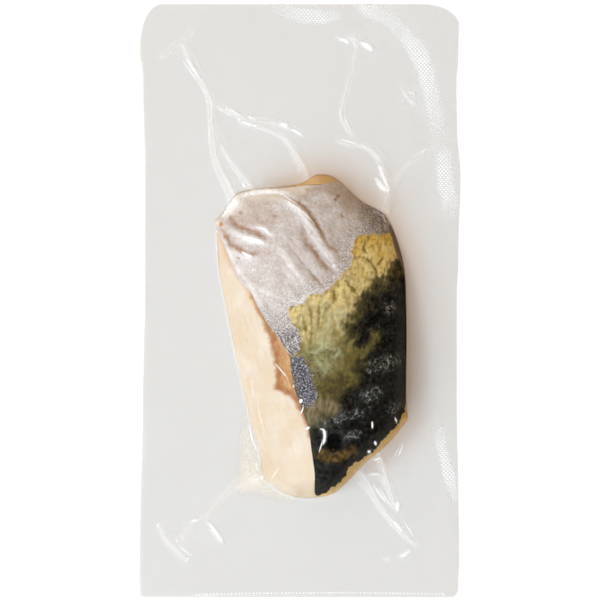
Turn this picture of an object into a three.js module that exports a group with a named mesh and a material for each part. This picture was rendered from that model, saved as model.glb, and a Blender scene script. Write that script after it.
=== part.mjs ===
// A pack of grilled mackerel: one piece of fillet, skin side up, in a clear vacuum pouch that is drawn tight
// over it. The pouch lies flat, with the fish in its middle, and its two films touch each other or the fish
// everywhere, so the sealed pack is one solid. Millimetres: +X across the pouch, +Y along it, +Z up, with the
// origin on the underside, in the middle of the pouch.
//
// The upper surface is a height above every point of the pouch: the film's edge, the fillet's rounded form with
// the folds of its skin, the film's slope off the fish, and the webs and pleats where the film gathers. It is
// meshed by halving triangles wherever they still miss that surface most.

import * as THREE from 'three';

// ---- the pouch ----------------------------------------------------------------------------------------------
const POUCH_WIDTH = 130;
const POUCH_LENGTH = 240;
const FILM_EDGE = 0.6; // height of the pouch where only its two films lie on each other
// How far the long sides draw in, as [place along the pouch, draw]
const LEFT_SIDE_DRAW = [[-120, 0.3], [-112, 0], [-100, 0.1], [-40, 1.4], [0, 2.1], [60, 2.1], [90, 1.4], [101, 0.2], [120, 0]];
const RIGHT_SIDE_DRAW = [[-120, 1.0], [-100, 0.5], [-80, 0.9], [-40, 1.6], [0, 1.6], [20, 0.9], [50, 0], [70, 1.4], [86, 1.7], [100, 0.9], [120, 0.4]];
// Corner roundings, as [across, along]
const CORNERS = { topLeft: [9, 18], topRight: [15, 9], bottomLeft: [1.5, 1.5], bottomRight: [3, 3.5] };

// ---- the fillet ---------------------------------------------------------------------------------------------
const CROWN_HEIGHT = 22.5; // thickest place, under the film
const CROWN_Y = -25;
const CREST_X = 8; // the crest leans across the piece, as the fish's body does
const CREST_LEAN = -0.15;
const ROUND_ACROSS = 45; // radius of the skin's arch across the body
const ROUND_ALONG = 215; // and along it
const TOP_END_ROUND = 8; // how far in from each edge the side of the fillet rises
const BACK_SIDE_ROUND = 6.5;
const CUT_END_ROUND = 10;
const FLESH_EDGE_SHARE = 0.16; // the open flesh side is this steep-edged before its even slope starts

// The piece's outline on the pouch, in four stretches, clockwise from its left shoulder
const TOP_END = [[-34.5, 32], [-30.5, 36.5], [-26, 43], [-20, 45], [-0.5, 47], [7, 50], [13.5, 49.5], [24.5, 40.5], [34.5, 35]];
const BACK_SIDE = [[34.5, 35], [38, 28], [42, 14.5], [43, 0], [43, -40], [43.5, -48]];
const CUT_END = [[43.5, -48], [35.5, -58], [26.5, -65.5], [13.5, -78], [2.5, -80]];
const FLESH_SIDE = [[2.5, -80], [-3, -79], [-10.5, -75.5], [-15, -71], [-16, -62], [-20.5, -47], [-24, -31.5], [-29.5, -4.5], [-33, 14], [-33.5, 24.5], [-34.5, 32]];
// The edge of the skin, above the flesh side
const SKIN_EDGE = [[-34, 30.5], [-27.5, 14.5], [-19.5, 3], [-13, -9], [-4.5, -21.5], [-3, -28], [2.5, -41], [4.5, -58], [6, -69], [6.5, -79]];

// Folds of the skin, as a line, how far it stands up or sinks in, and how wide it spreads
const SKIN_FOLDS = [
  { line: [[-3.5, 42], [1, 38.5], [5.5, 33], [9, 27], [14.5, 20]], rise: -1.1, spread: 1.8 },
  { line: [[1, 24.5], [5.5, 20.5], [9.5, 15], [14, 11]], rise: -0.8, spread: 1.5 },
  { line: [[-6, 26], [-2, 20.5], [3, 14.5], [7, 9]], rise: -0.8, spread: 1.6 },
  { line: [[-27, 34], [-23.5, 30.5], [-19, 28], [-11.5, 25]], rise: -0.8, spread: 1.6 },
  { line: [[-30.5, 30.5], [-27.5, 27], [-20.5, 22]], rise: -0.7, spread: 1.6 },
  { line: [[-11.5, 44], [-5, 41.5], [0, 36.5], [7, 27]], rise: 1.0, spread: 2.4 },
  { line: [[22, 24], [27, 22], [29, 16]], rise: -0.6, spread: 1.4 },
  { line: [[12, -2], [20, -9], [24, -20], [20, -29]], rise: -0.7, spread: 2.0 },
  { line: [[9, -62], [20, -60]], rise: -0.7, spread: 2.2 },
];

// ---- the film off the fish ----------------------------------------------------------------------------------
const SKIRT_HEIGHT = 3.4; // where the film leaves the foot of the fish, above the lower film
const SKIRT_REACH = 2.6;
// Webs and pleats of gathered film, as [x, y, height] along each, and how far its flanks spread
const PLEATS = [
  { line: [[-25, 40, 4.6], [-28.5, 47.5, 4.2], [-33, 56, 2.6], [-35, 66, 1.8], [-36, 81, 1.4], [-38.5, 87, 1.2], [-47, 104, 1.0]], spread: 2.2 },
  { line: [[-18, 44, 3.8], [-21.5, 49, 3.2], [-28, 57.5, 1.8], [-34.5, 70.5, 1.0]], spread: 2.3 },
  { line: [[-55.5, 99, 0.5], [-48.5, 105, 1.1], [-43, 109.5, 0.4]], spread: 1.8 },
  { line: [[-36, 81, 1.3], [-21.5, 74, 1.0], [-7.5, 71.5, 1.0], [1.5, 67, 0.3]], spread: 1.8 },
  { line: [[4, 47, 4.4], [2.5, 53, 3.6], [-2, 60.5, 2.0], [-10, 68.5, 1.2], [-24, 72.5, 0.8]], spread: 2.2 },
  { line: [[33, 34, 5.6], [36, 45, 3.8], [33.5, 55.5, 2.2], [26, 63, 1.2], [15, 65, 0.5]], spread: 2.2 },
  { line: [[36, 36, 4.2], [38.5, 47.5, 2.2], [48.5, 59, 1.2], [53, 62, 0.4]], spread: 1.9 },
  { line: [[21.5, 66.5, 0.5], [17, 75, 1.0], [18, 81, 1.1], [22.5, 97, 0.9], [22.5, 106, 1.0]], spread: 1.8 },
  { line: [[14.5, 106.5, 0.4], [22, 106.5, 1.0], [30, 101, 0.4]], spread: 1.8 },
  { line: [[-13, -70, 6.2], [-20, -73, 4.2], [-27, -75.5, 2.6], [-36.5, -86, 1.6], [-49.5, -97.5, 1.1]], spread: 2.3 },
  { line: [[-57.5, -89.5, 0.4], [-52.5, -97.5, 1.1], [-45.5, -104.5, 0.4]], spread: 1.9 },
  { line: [[-37, -89, 0.4], [-34, -93.5, 1.0], [-31, -98, 0.4]], spread: 1.7 },
  { line: [[22, -66, 6.4], [25.5, -69.5, 5], [33.5, -83.5, 2.2], [41.5, -93, 1.4], [47.5, -99, 0.8]], spread: 2.3 },
  { line: [[32, -60, 5.4], [35, -70, 2.6], [38, -80, 1.4], [39.5, -85, 0.6]], spread: 2.1 },
];

// ---- the mesh -----------------------------------------------------------------------------------------------
const COLUMNS = 16;
const ROWS = 30;
const TOP_TRIANGLES = 7600;
const SHORTEST_SPLIT = 1.3; // triangles with a shorter longest side aren't halved again
const CURVE_STEPS = 4; // straight steps drawn between two points of a smooth line
const TRIES = 5; // points along each side of a triangle where its fit is tried

// ---- lines --------------------------------------------------------------------------------------------------
function smoothLine(points) {
  const curve = new THREE.CatmullRomCurve3(points.map(([x, y, z = 0]) => new THREE.Vector3(x, y, z)));
  return curve.getPoints(CURVE_STEPS * (points.length - 1));
}

// The distance from (x, y) to a line, and the line's own third value at the nearest place
function nearestOn(line, x, y) {
  let best = Infinity;
  let value = 0;
  for (let i = 1; i < line.length; i += 1) {
    const [start, end] = [line[i - 1], line[i]];
    const [dx, dy] = [end.x - start.x, end.y - start.y];
    const share = THREE.MathUtils.clamp(((x - start.x) * dx + (y - start.y) * dy) / (dx * dx + dy * dy), 0, 1);
    const distance = Math.hypot(x - start.x - share * dx, y - start.y - share * dy);
    if (distance < best) {
      best = distance;
      value = start.z + share * (end.z - start.z);
    }
  }
  return { distance: best, value };
}

function isInside(outline, x, y) {
  let inside = false;
  for (let i = 0, j = outline.length - 1; i < outline.length; j = i, i += 1) {
    const [a, b] = [outline[i], outline[j]];
    if (a.y > y !== b.y > y && x < ((b.x - a.x) * (y - a.y)) / (b.y - a.y) + a.x) inside = !inside;
  }
  return inside;
}

// ---- the fillet's form --------------------------------------------------------------------------------------
const topEnd = smoothLine(TOP_END);
const backSide = smoothLine(BACK_SIDE);
const cutEnd = smoothLine(CUT_END);
const fleshSide = smoothLine(FLESH_SIDE);
const skinEdge = smoothLine(SKIN_EDGE);
const filletOutline = [...topEnd, ...backSide, ...cutEnd, ...fleshSide];
const skinSide = [...topEnd, ...backSide, ...cutEnd, ...[...skinEdge].reverse()];
const folds = SKIN_FOLDS.map((fold) => ({ ...fold, line: smoothLine(fold.line) }));

function crown(x, y) {
  const across = x - CREST_X - CREST_LEAN * y;
  const along = y - CROWN_Y;
  return CROWN_HEIGHT - across ** 2 / (2 * ROUND_ACROSS) - along ** 2 / (2 * ROUND_ALONG);
}

// From 0 at an edge to 1 where the arch of the skin starts
function edgeRise(line, round, x, y) {
  return Math.sin((Math.PI / 2) * Math.min(nearestOn(line, x, y).distance / round, 1));
}

// The open flesh: a short steep edge, then an even slope up to the edge of the skin
function fleshRise(x, y) {
  if (isInside(skinSide, x, y)) return 1;
  const fromFoot = nearestOn(fleshSide, x, y).distance;
  const fromSkin = nearestOn(skinEdge, x, y).distance;
  const share = fromFoot / (fromFoot + fromSkin + 1e-6);
  const steepPart = 1 - Math.exp(-share / FLESH_EDGE_SHARE);
  return 0.35 * steepPart + 0.65 * share;
}

function skinRelief(x, y) {
  let relief = 0;
  for (const { line, rise, spread } of folds) relief += rise * Math.exp(-((nearestOn(line, x, y).distance / spread) ** 2));
  return relief;
}

function filletHeight(x, y) {
  if (!isInside(filletOutline, x, y)) return 0;
  const rise = edgeRise(topEnd, TOP_END_ROUND, x, y) * edgeRise(backSide, BACK_SIDE_ROUND, x, y)
    * edgeRise(cutEnd, CUT_END_ROUND, x, y) * fleshRise(x, y);
  return rise * (crown(x, y) + skinRelief(x, y));
}

// ---- the film's form ----------------------------------------------------------------------------------------
const pleats = PLEATS.map((pleat) => ({ ...pleat, line: smoothLine(pleat.line) }));

function filmHeight(x, y) {
  const fromFish = isInside(filletOutline, x, y) ? 0 : nearestOn(filletOutline, x, y).distance;
  const skirt = SKIRT_HEIGHT * Math.exp(-fromFish / SKIRT_REACH);
  let gathered = 0;
  for (const { line, spread } of pleats) {
    const { distance, value } = nearestOn(line, x, y);
    gathered = Math.max(gathered, value * Math.exp(-((distance / spread) ** 2)));
  }
  return Math.max(skirt, gathered);
}

function packHeight(x, y) {
  return FILM_EDGE + Math.max(filletHeight(x, y), filmHeight(x, y));
}

// ---- the pouch's outline ------------------------------------------------------------------------------------
function sideDraw(side, y) {
  const after = Math.max(1, side.findIndex(([place]) => place >= y));
  const [[startPlace, start], [endPlace, end]] = [side[after - 1], side[after]];
  return start + (end - start) * THREE.MathUtils.smoothstep(y, startPlace, endPlace);
}

function cornerDraw([across, along], fromEnd) {
  return fromEnd < along ? across * (1 - Math.sqrt(1 - (1 - fromEnd / along) ** 2)) : 0;
}

// The place on the pouch of a point of the unit square
function placeOnPouch(u, v) {
  const y = (v - 0.5) * POUCH_LENGTH;
  const fromTop = POUCH_LENGTH / 2 - y;
  const fromBottom = POUCH_LENGTH / 2 + y;
  const left = sideDraw(LEFT_SIDE_DRAW, y) + cornerDraw(CORNERS.topLeft, fromTop) + cornerDraw(CORNERS.bottomLeft, fromBottom);
  const right = sideDraw(RIGHT_SIDE_DRAW, y) + cornerDraw(CORNERS.topRight, fromTop) + cornerDraw(CORNERS.bottomRight, fromBottom);
  const x = left - POUCH_WIDTH / 2 + u * (POUCH_WIDTH - left - right);
  return { x, y };
}

// ---- the upper surface --------------------------------------------------------------------------------------
const vertices = [];
const middles = new Map(); // the vertex in the middle of each halved side
const owners = new Map(); // the triangle on the left of each directed side
const live = new Set();

const sideName = (a, b) => `${a}>${b}`;

function addVertex(u, v) {
  const { x, y } = placeOnPouch(u, v);
  const onRim = u === 0 || u === 1 || v === 0 || v === 1;
  vertices.push({ u, v, x, y, z: onRim ? FILM_EDGE : packHeight(x, y) });
  return vertices.length - 1;
}

// Where the triangle misses the surface most: heights inside it, and the rim where one of its sides lies on it
function misfit({ corners: [a, b, c] }) {
  const [p, q, r] = [vertices[a], vertices[b], vertices[c]];
  let worst = 0;
  for (let i = 0; i <= TRIES; i += 1) {
    for (let j = 0; i + j <= TRIES; j += 1) {
      const [s, t] = [i / TRIES, j / TRIES];
      const mix = (key) => s * p[key] + t * q[key] + (1 - s - t) * r[key];
      worst = Math.max(worst, Math.abs(packHeight(mix('x'), mix('y')) - mix('z')));
    }
  }
  for (const [start, end] of [[a, b], [b, c], [c, a]]) {
    if (owners.has(sideName(end, start))) continue;
    const [from, to] = [vertices[start], vertices[end]];
    const { x, y } = placeOnPouch((from.u + to.u) / 2, (from.v + to.v) / 2);
    worst = Math.max(worst, Math.hypot(x - (from.x + to.x) / 2, y - (from.y + to.y) / 2));
  }
  return worst;
}

// A triangle [a, b, apex] is halved across its side a-b
function addTriangle(corners) {
  const triangle = { corners };
  live.add(triangle);
  for (let i = 0; i < 3; i += 1) owners.set(sideName(corners[i], corners[(i + 1) % 3]), triangle);
}

function halve(triangle) {
  const [a, b, apex] = triangle.corners;
  const key = sideName(Math.min(a, b), Math.max(a, b));
  if (!middles.has(key)) {
    middles.set(key, addVertex((vertices[a].u + vertices[b].u) / 2, (vertices[a].v + vertices[b].v) / 2));
  }
  const middle = middles.get(key);
  live.delete(triangle);
  owners.delete(sideName(a, b));
  addTriangle([apex, a, middle]);
  addTriangle([b, apex, middle]);
}

// Both triangles on a side are halved together, and a neighbour that would be halved elsewhere goes first
function split(triangle) {
  const [a, b] = triangle.corners;
  let across = owners.get(sideName(b, a));
  if (across && !(across.corners[0] === b && across.corners[1] === a)) {
    split(across);
    across = owners.get(sideName(b, a));
  }
  halve(triangle);
  if (across) halve(across);
}

function longestSide({ corners: [a, b] }) {
  return Math.hypot(vertices[a].x - vertices[b].x, vertices[a].y - vertices[b].y);
}

function meshUpperSurface() {
  const corner = (column, row) => row * (COLUMNS + 1) + column;
  for (let row = 0; row <= ROWS; row += 1) {
    for (let column = 0; column <= COLUMNS; column += 1) addVertex(column / COLUMNS, row / ROWS);
  }
  for (let row = 0; row < ROWS; row += 1) {
    for (let column = 0; column < COLUMNS; column += 1) {
      const [sw, se, nw, ne] = [corner(column, row), corner(column + 1, row), corner(column, row + 1), corner(column + 1, row + 1)];
      if ((row + column) % 2 === 0) {
        addTriangle([ne, sw, se]);
        addTriangle([sw, ne, nw]);
      } else {
        addTriangle([se, nw, sw]);
        addTriangle([nw, se, ne]);
      }
    }
  }
  while (live.size < TOP_TRIANGLES) {
    for (const triangle of live) triangle.misfit ??= longestSide(triangle) < SHORTEST_SPLIT ? 0 : misfit(triangle);
    const worst = [...live].sort((one, other) => other.misfit - one.misfit).slice(0, Math.ceil(live.size / 20));
    for (const triangle of worst) {
      if (live.has(triangle) && live.size < TOP_TRIANGLES) split(triangle);
    }
  }
}

// ---- the closed solid ---------------------------------------------------------------------------------------
// The rim drops straight to the underside, which is one flat face fanned from its middle
function closedPouch() {
  meshUpperSurface();
  const positions = vertices.map(({ x, y, z }) => [x, y, z]);
  const faces = [...live].map(({ corners }) => corners);
  const under = new Map();
  const underneath = (index) => {
    if (!under.has(index)) {
      under.set(index, positions.length);
      positions.push([vertices[index].x, vertices[index].y, 0]);
    }
    return under.get(index);
  };
  const middle = positions.length;
  positions.push([0, 0, 0]);
  for (const { corners } of live) {
    for (let i = 0; i < 3; i += 1) {
      const [a, b] = [corners[i], corners[(i + 1) % 3]];
      if (owners.has(sideName(b, a))) continue;
      const [low, next] = [underneath(a), underneath(b)];
      faces.push([a, low, next], [a, next, b], [next, low, middle]);
    }
  }
  const geometry = new THREE.BufferGeometry();
  geometry.setAttribute('position', new THREE.Float32BufferAttribute(positions.flat(), 3));
  geometry.setIndex(faces.flat());
  geometry.computeBoundingBox();
  const centre = geometry.boundingBox.getCenter(new THREE.Vector3());
  geometry.translate(-centre.x, -centre.y, 0);
  geometry.computeVertexNormals();
  return geometry;
}

const filmOverFish = new THREE.MeshStandardMaterial({ color: 0xe6e3df, roughness: 0.2, metalness: 0 });
const pouch = new THREE.Mesh(closedPouch(), filmOverFish);
pouch.name = 'vacuum_pouch';

const pack = new THREE.Group();
pack.add(pouch);

export default pack;
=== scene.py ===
"""A pack of grilled mackerel: a clear vacuum pouch drawn tight over one piece of fillet, skin side up.

The CAD's one solid is the sealed pack. Here it becomes what it is made of: the fillet's flesh, its skin, the
cooking juice round its foot, and the pouch, whose upper film is draped over the fish by relaxing a stretched
sheet over it. Lengths are in millimetres, in the CAD's frame, until a mesh is made; Blender gets metres.
"""

import math

import bpy
import numpy as np
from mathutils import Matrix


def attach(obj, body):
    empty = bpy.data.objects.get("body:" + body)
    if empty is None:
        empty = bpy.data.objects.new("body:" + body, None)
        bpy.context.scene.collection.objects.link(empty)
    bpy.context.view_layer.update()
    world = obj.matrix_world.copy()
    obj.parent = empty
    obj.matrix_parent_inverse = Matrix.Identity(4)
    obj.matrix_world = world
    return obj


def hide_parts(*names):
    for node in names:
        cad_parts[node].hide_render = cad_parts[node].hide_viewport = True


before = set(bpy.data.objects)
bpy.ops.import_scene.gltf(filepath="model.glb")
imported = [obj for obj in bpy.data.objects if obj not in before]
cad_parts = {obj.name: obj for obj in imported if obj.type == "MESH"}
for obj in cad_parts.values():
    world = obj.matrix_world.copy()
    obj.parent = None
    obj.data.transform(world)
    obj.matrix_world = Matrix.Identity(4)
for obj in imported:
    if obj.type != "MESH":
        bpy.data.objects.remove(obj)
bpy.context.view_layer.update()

MM = 0.001

# ---- the pouch, as in the CAD ----------------------------------------------------------------------------
POUCH_WIDTH = 130.0
POUCH_LENGTH = 240.0
# How far the long sides draw in, as (place along the pouch, draw)
LEFT_SIDE_DRAW = (
    (-120, 0.3), (-112, 0), (-100, 0.1), (-40, 1.4), (0, 2.1), (60, 2.1), (90, 1.4), (101, 0.2), (120, 0),
)
RIGHT_SIDE_DRAW = (
    (-120, 1.0), (-100, 0.5), (-80, 0.9), (-40, 1.6), (0, 1.6), (20, 0.9), (50, 0), (70, 1.4), (86, 1.7),
    (100, 0.9), (120, 0.4),
)
# Corner roundings, as (across, along)
CORNERS = {"top_left": (9, 18), "top_right": (15, 9), "bottom_left": (1.5, 1.5), "bottom_right": (3, 3.5)}

# ---- the fillet, as in the CAD, but for its top end, which lies up to 1 mm further out -------------------
CROWN_HEIGHT = 22.5
CROWN_Y = -25.0
CREST_X = 8.0
CREST_LEAN = -0.15
ROUND_ACROSS = 45.0
ROUND_ALONG = 215.0
TOP_END_ROUND = 8.0
BACK_SIDE_ROUND = 6.5
CUT_END_ROUND = 10.0
FLESH_EDGE_RISE = 0.35  # the share of its height that the open flesh has at once, at its foot
FLESH_EDGE_SHARE = 0.16  # and the share of its slope in which it gets there
TOP_END = (
    (-34.5, 32), (-30.5, 36.5), (-26, 43), (-20, 45), (-0.5, 47.2), (7, 51), (13.5, 50), (24.5, 40.5),
    (34.5, 35),
)
BACK_SIDE = ((34.5, 35), (38, 28), (42, 14.5), (43, 0), (43, -40), (43.5, -48))
CUT_END = ((43.5, -48), (35.5, -58), (26.5, -65.5), (13.5, -78), (2.5, -80))
FLESH_SIDE = (
    (2.5, -80), (-3, -79), (-10.5, -75.5), (-15, -71), (-16, -62), (-20.5, -47), (-24, -31.5), (-29.5, -4.5),
    (-33, 14), (-33.5, 24.5), (-34.5, 32),
)
SKIN_EDGE = (
    (-34, 30.5), (-27.5, 14.5), (-19.5, 3), (-13, -9), (-4.5, -21.5), (-3, -28), (2.5, -41), (4.5, -58),
    (6, -69), (6.5, -79),
)

# ---- the skin's marks: lines of (x, y, strength) ---------------------------------------------------------
SILVER_GROOVES = (
    ((-3.7, 42, 0.5), (-0.5, 39.3, 1), (2.7, 36.6, 1), (4.9, 33.4, 1), (7.6, 29, 0.9), (9.8, 24.7, 0.8),
     (11.9, 21.5, 0.7), (14.9, 20.2, 0.4)),
    ((1.7, 28.5, 0.2), (2.2, 24.2, 0.6), (4.9, 21, 0.8), (7.6, 17.2, 0.9), (10.3, 13.9, 0.8),
     (13.5, 11.2, 0.3)),
    ((-3.7, 24.2, 0.3), (-1, 19.9, 0.6), (2.7, 15, 0.6), (6.5, 9.6, 0.6), (9.2, 6.4, 0.3)),
    ((-28, 34.5, 0.7), (-25.9, 30.7, 0.9), (-20.5, 28.5, 0.9), (-15.1, 26.4, 0.8), (-11.8, 25, 0.2)),
    ((-31.3, 28.5, 0.8), (-27.5, 23.1, 1), (-22.6, 19.9, 0.9), (-19.4, 19.3, 0.6), (-12, 20, 0.2)),
)
LIP_ARC = ((0.5, 45.4, 0.2), (4.5, 44.5, 0.5), (8.5, 45.2, 0.3))
SILVER_RIDGES = (
    ((-20, 43.7, 0.5), (-12.4, 42.8, 0.8), (-5.9, 40.4, 0.9), (-0.5, 36.6, 1), (2.7, 32.8, 1),
     (6, 28.5, 0.9), (8.7, 24.2, 0.8), (11.9, 19.9, 0.7), (14.9, 13.4, 0.5)),
    ((-27, 27.7, 0.4), (-20.5, 25, 1), (-13.5, 22.8, 0.4)),
    ((-27, 20.8, 0.4), (-22, 17.8, 0.9), (-17, 16.8, 0.3)),
    ((-18, 30, 0.3), (-14.5, 28.8, 0.8), (-11, 25.4, 0.4)),
    ((-9, 22, 0.2), (-4.5, 16, 0.6), (0.5, 9.5, 0.6), (4, 5, 0.2)),
)
BARE_CREASES = (
    ((27.3, 25, 0.5), (25.7, 23.1, 1), (25.4, 20.4, 1), (27, 18.3, 0.4)),
    ((21.1, 17.2, 0.4), (25.4, 17.2, 0.9), (28.7, 14.5, 1), (30.6, 10.7, 1), (29.5, 6.4, 0.5)),
    ((33, 17.2, 0.7), (31.4, 14.5, 0.9)),
    ((17.9, 8, 0.7), (20, 5.8, 1), (23.8, 1, 0.5)),
    ((13, 4.2, 0.5), (13.6, 0.6, 0.7), (11.4, -3.2, 0.4)),
    ((6.9, 0.6, 0.4), (7.6, -4, 0.9), (7.2, -9, 0.8), (5.9, -14, 0.4)),
    ((3.4, -1.5, 0.4), (4.3, -6.5, 0.8), (4.6, -12, 0.8), (4.2, -17, 0.4)),
    ((0.4, -3.6, 0.4), (1.4, -8, 0.7), (2.2, -13, 0.6)),
    ((26.5, 1.5, 0.3), (22.4, -3, 0.8), (20.4, -8, 0.7), (21, -13, 0.3)),
)
BARE_VEINS = (
    ((18.9, -2.3, 0.8), (15.7, -3.6, 1), (12.7, -5, 1), (11.7, -9.3, 1), (9.2, -13.6, 0.8),
     (8.1, -16.3, 0.5)),
    ((18.9, -2.8, 0.8), (18.1, -5, 1), (14.9, -6.6, 1), (15.7, -9.8, 1), (17.3, -13.1, 0.6)),
    ((8.1, -14.7, 0.6), (9.2, -17.4, 1), (6.5, -20.1, 1), (3.8, -20.1, 0.5)),
    ((11.9, -15.2, 0.6), (10.3, -17.9, 1), (13.5, -19, 0.7)),
    ((15.2, -18.4, 0.7), (15.7, -20.6, 1), (13, -22.2, 0.6)),
    ((6, -22.2, 0.4), (8.1, -24.9, 0.8), (10.3, -28.2, 0.6)),
    ((9.8, 2.6, 0.3), (9.4, -1.6, 0.7), (10, -6, 0.4)),
    ((5.6, 0.2, 0.3), (5.9, -6, 0.6), (5.7, -12, 0.4)),
)
DARK_MARKS = (
    ((26.5, -9, 0.5), (30, -12, 1), (34, -12.5, 0.8), (39, -10, 0.4)),
    ((25, -18, 0.4), (30, -15.6, 0.9), (36, -16.5, 0.5)),
    ((33.5, -2, 0.6), (37, -4.5, 1), (40, -4, 0.5)),
    ((17.5, -52.5, 0.4), (20.3, -56, 0.9), (20.5, -60, 0.5)),
    ((18.6, -51.5, 0.3), (23, -55.5, 0.8), (23, -59.5, 0.4)),
    ((12, -46, 0.4), (17, -49, 0.7), (24, -49.5, 0.5)),
    ((24, -41, 0.3), (31, -42, 0.8), (38, -38, 0.4)),
)

# ---- where the skin changes ------------------------------------------------------------------------------
SKIN_OUTLINE = (
    (-34, 30.5), (-30.5, 22), (-27.5, 14.5), (-24.3, 8), (-19.5, 3), (-17, -2.3), (-13, -9), (-9.3, -14),
    (-4.5, -21.5), (-3.6, -27.5), (-1.6, -37), (0.4, -42), (3.4, -50.6), (4.4, -58), (5.8, -68.6),
    (6.5, -78.6), (10, -77.8), (13.5, -74.7), (18.3, -70.4), (19.2, -66.9), (24, -64.3), (29.6, -60.7),
    (34, -55), (39.7, -49.4), (42.6, -43), (42.9, -38), (42.9, 0), (41.7, 12.5), (38.6, 20), (36.6, 28),
    (34, 34.8), (24.6, 40.2), (19.2, 45), (15.4, 48.2), (9.5, 46.9), (2, 46.7), (-10, 45.4), (-20, 44.6),
    (-26, 42.4), (-30.3, 36.3),
)
# Where the silver ends, and the corners that close it outside the skin
SILVER_BORDER = (
    (42, 29), (37.5, 27.8), (33.5, 27), (28, 26.6), (24.3, 26.4), (21.1, 22), (20.8, 16.6), (18.4, 11.8),
    (15.2, 8.5), (11.9, 4.8), (7.1, 2.6), (3.3, 2.1), (1.7, -1.2), (-2.7, -1.7), (-4.6, -4.7), (-2.7, -9.3),
    (-0.5, -12.5), (0.6, -16.3), (-0.8, -20), (-4.4, -22), (-8, -23),
)
SILVER_REST = ((-24, 0), (-40, 30), (-36, 50), (42, 50))
# The black back and lower end, past the skin's edge on the outer side
DARK_OUTLINE = (
    (40, 14), (36.3, 8), (32, 6), (27, 2), (24, -5), (22, -11), (22, -17), (25, -24), (23.5, -32),
    (18.5, -35.5), (14.5, -38.5), (14, -44), (7.5, -47), (4.8, -51), (3, -56), (2, -84), (30, -76),
    (56, -50), (56, 14),
)
# The middle lines of what shows on the bare and the black skin
GREY_PATCH = ((-1.0, -24), (1.3, -31.5), (2.9, -38.2))
OLIVE_BAND = ((30, -14), (26.5, -19.5), (20.6, -21.1), (18.4, -24.9), (18.9, -31.4), (15.7, -34.6))
OCHRE_STREAK = ((8.7, -61.2), (10.3, -61.9), (14.6, -62.2), (18.4, -60.5), (21.6, -59.5))
DARK_HOLLOW = (13.7, -56.0)
# Where the dark skin has raised, glistening bands: centre, half length, half width
GLISTENING_ANGLE = 18  # degrees that they rise to the right
GLISTENING = (
    (32.5, -25, 6.5, 2.8), (28.5, -36.5, 5, 2.6), (23.5, -44.8, 3.6, 2.4), (15.5, -46.5, 3.5, 2),
    (36.5, -3, 2.4, 2.4), (7.5, -47.5, 3.2, 2.4), (20.5, -53.5, 3, 1.4), (37.5, -42.5, 3, 2.2),
)
# On the open flesh
DARK_MEAT = (
    (-19.4, 2.8), (-11.8, -14.1), (-9.7, -24.9), (-9.1, -31.9), (-9.9, -35.2), (-3.4, -37.6), (0.2, -43.3),
    (2.6, -48.7), (4.6, -54.5), (5.2, -51), (3.4, -41), (1, -38), (-2.5, -28), (-3.5, -21.5), (-12, -8.5),
    (-18.6, 3.2),
)
DARK_MEAT_BORDER = DARK_MEAT[:9]  # where it meets the cream flesh
# On the silver: centre and radius
BROWN_SPOTS = (
    (15.7, 42.3, 1.4), (14.1, 40.4, 1.0), (16.5, 34.2, 0.6), (-10, 33.9, 0.7), (-24, 35.3, 0.6),
    (-24.8, 17.2, 0.6), (4.6, 26.1, 0.5), (-4, 24.4, 0.4),
)

# ---- the film --------------------------------------------------------------------------------------------
FILM_PITCH = 0.6
FILM_REST = 0.3  # the upper film's height over the pouch's flat margin
FILM_FIT = 0.16  # how far the film lies off the skin
FILM_PRESS = 0.045  # how hard the outer air presses, in mm of height for each step of the relaxing
FILM_ROUNDS = 900
SEALED_EDGE = 0.1  # the upper film's height at the pouch's edge
LOWER_FILM = 0.02  # the lower film's height in the middle
CLEAR_MILK = 0.035  # how milky the film is where it lies plain
THREAD_LIFT = 0.22  # how far threads and short folds stand off the film
FOLD_LIFT = 0.12
# Painted glints this wide also get a painted soft shine round them
WIDE_GLINT = 0.95  # from this width on, a fold has a soft shine round it
SEAL_ROW = -118.15  # the dotted row of the bottom seal, along the pouch
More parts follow.
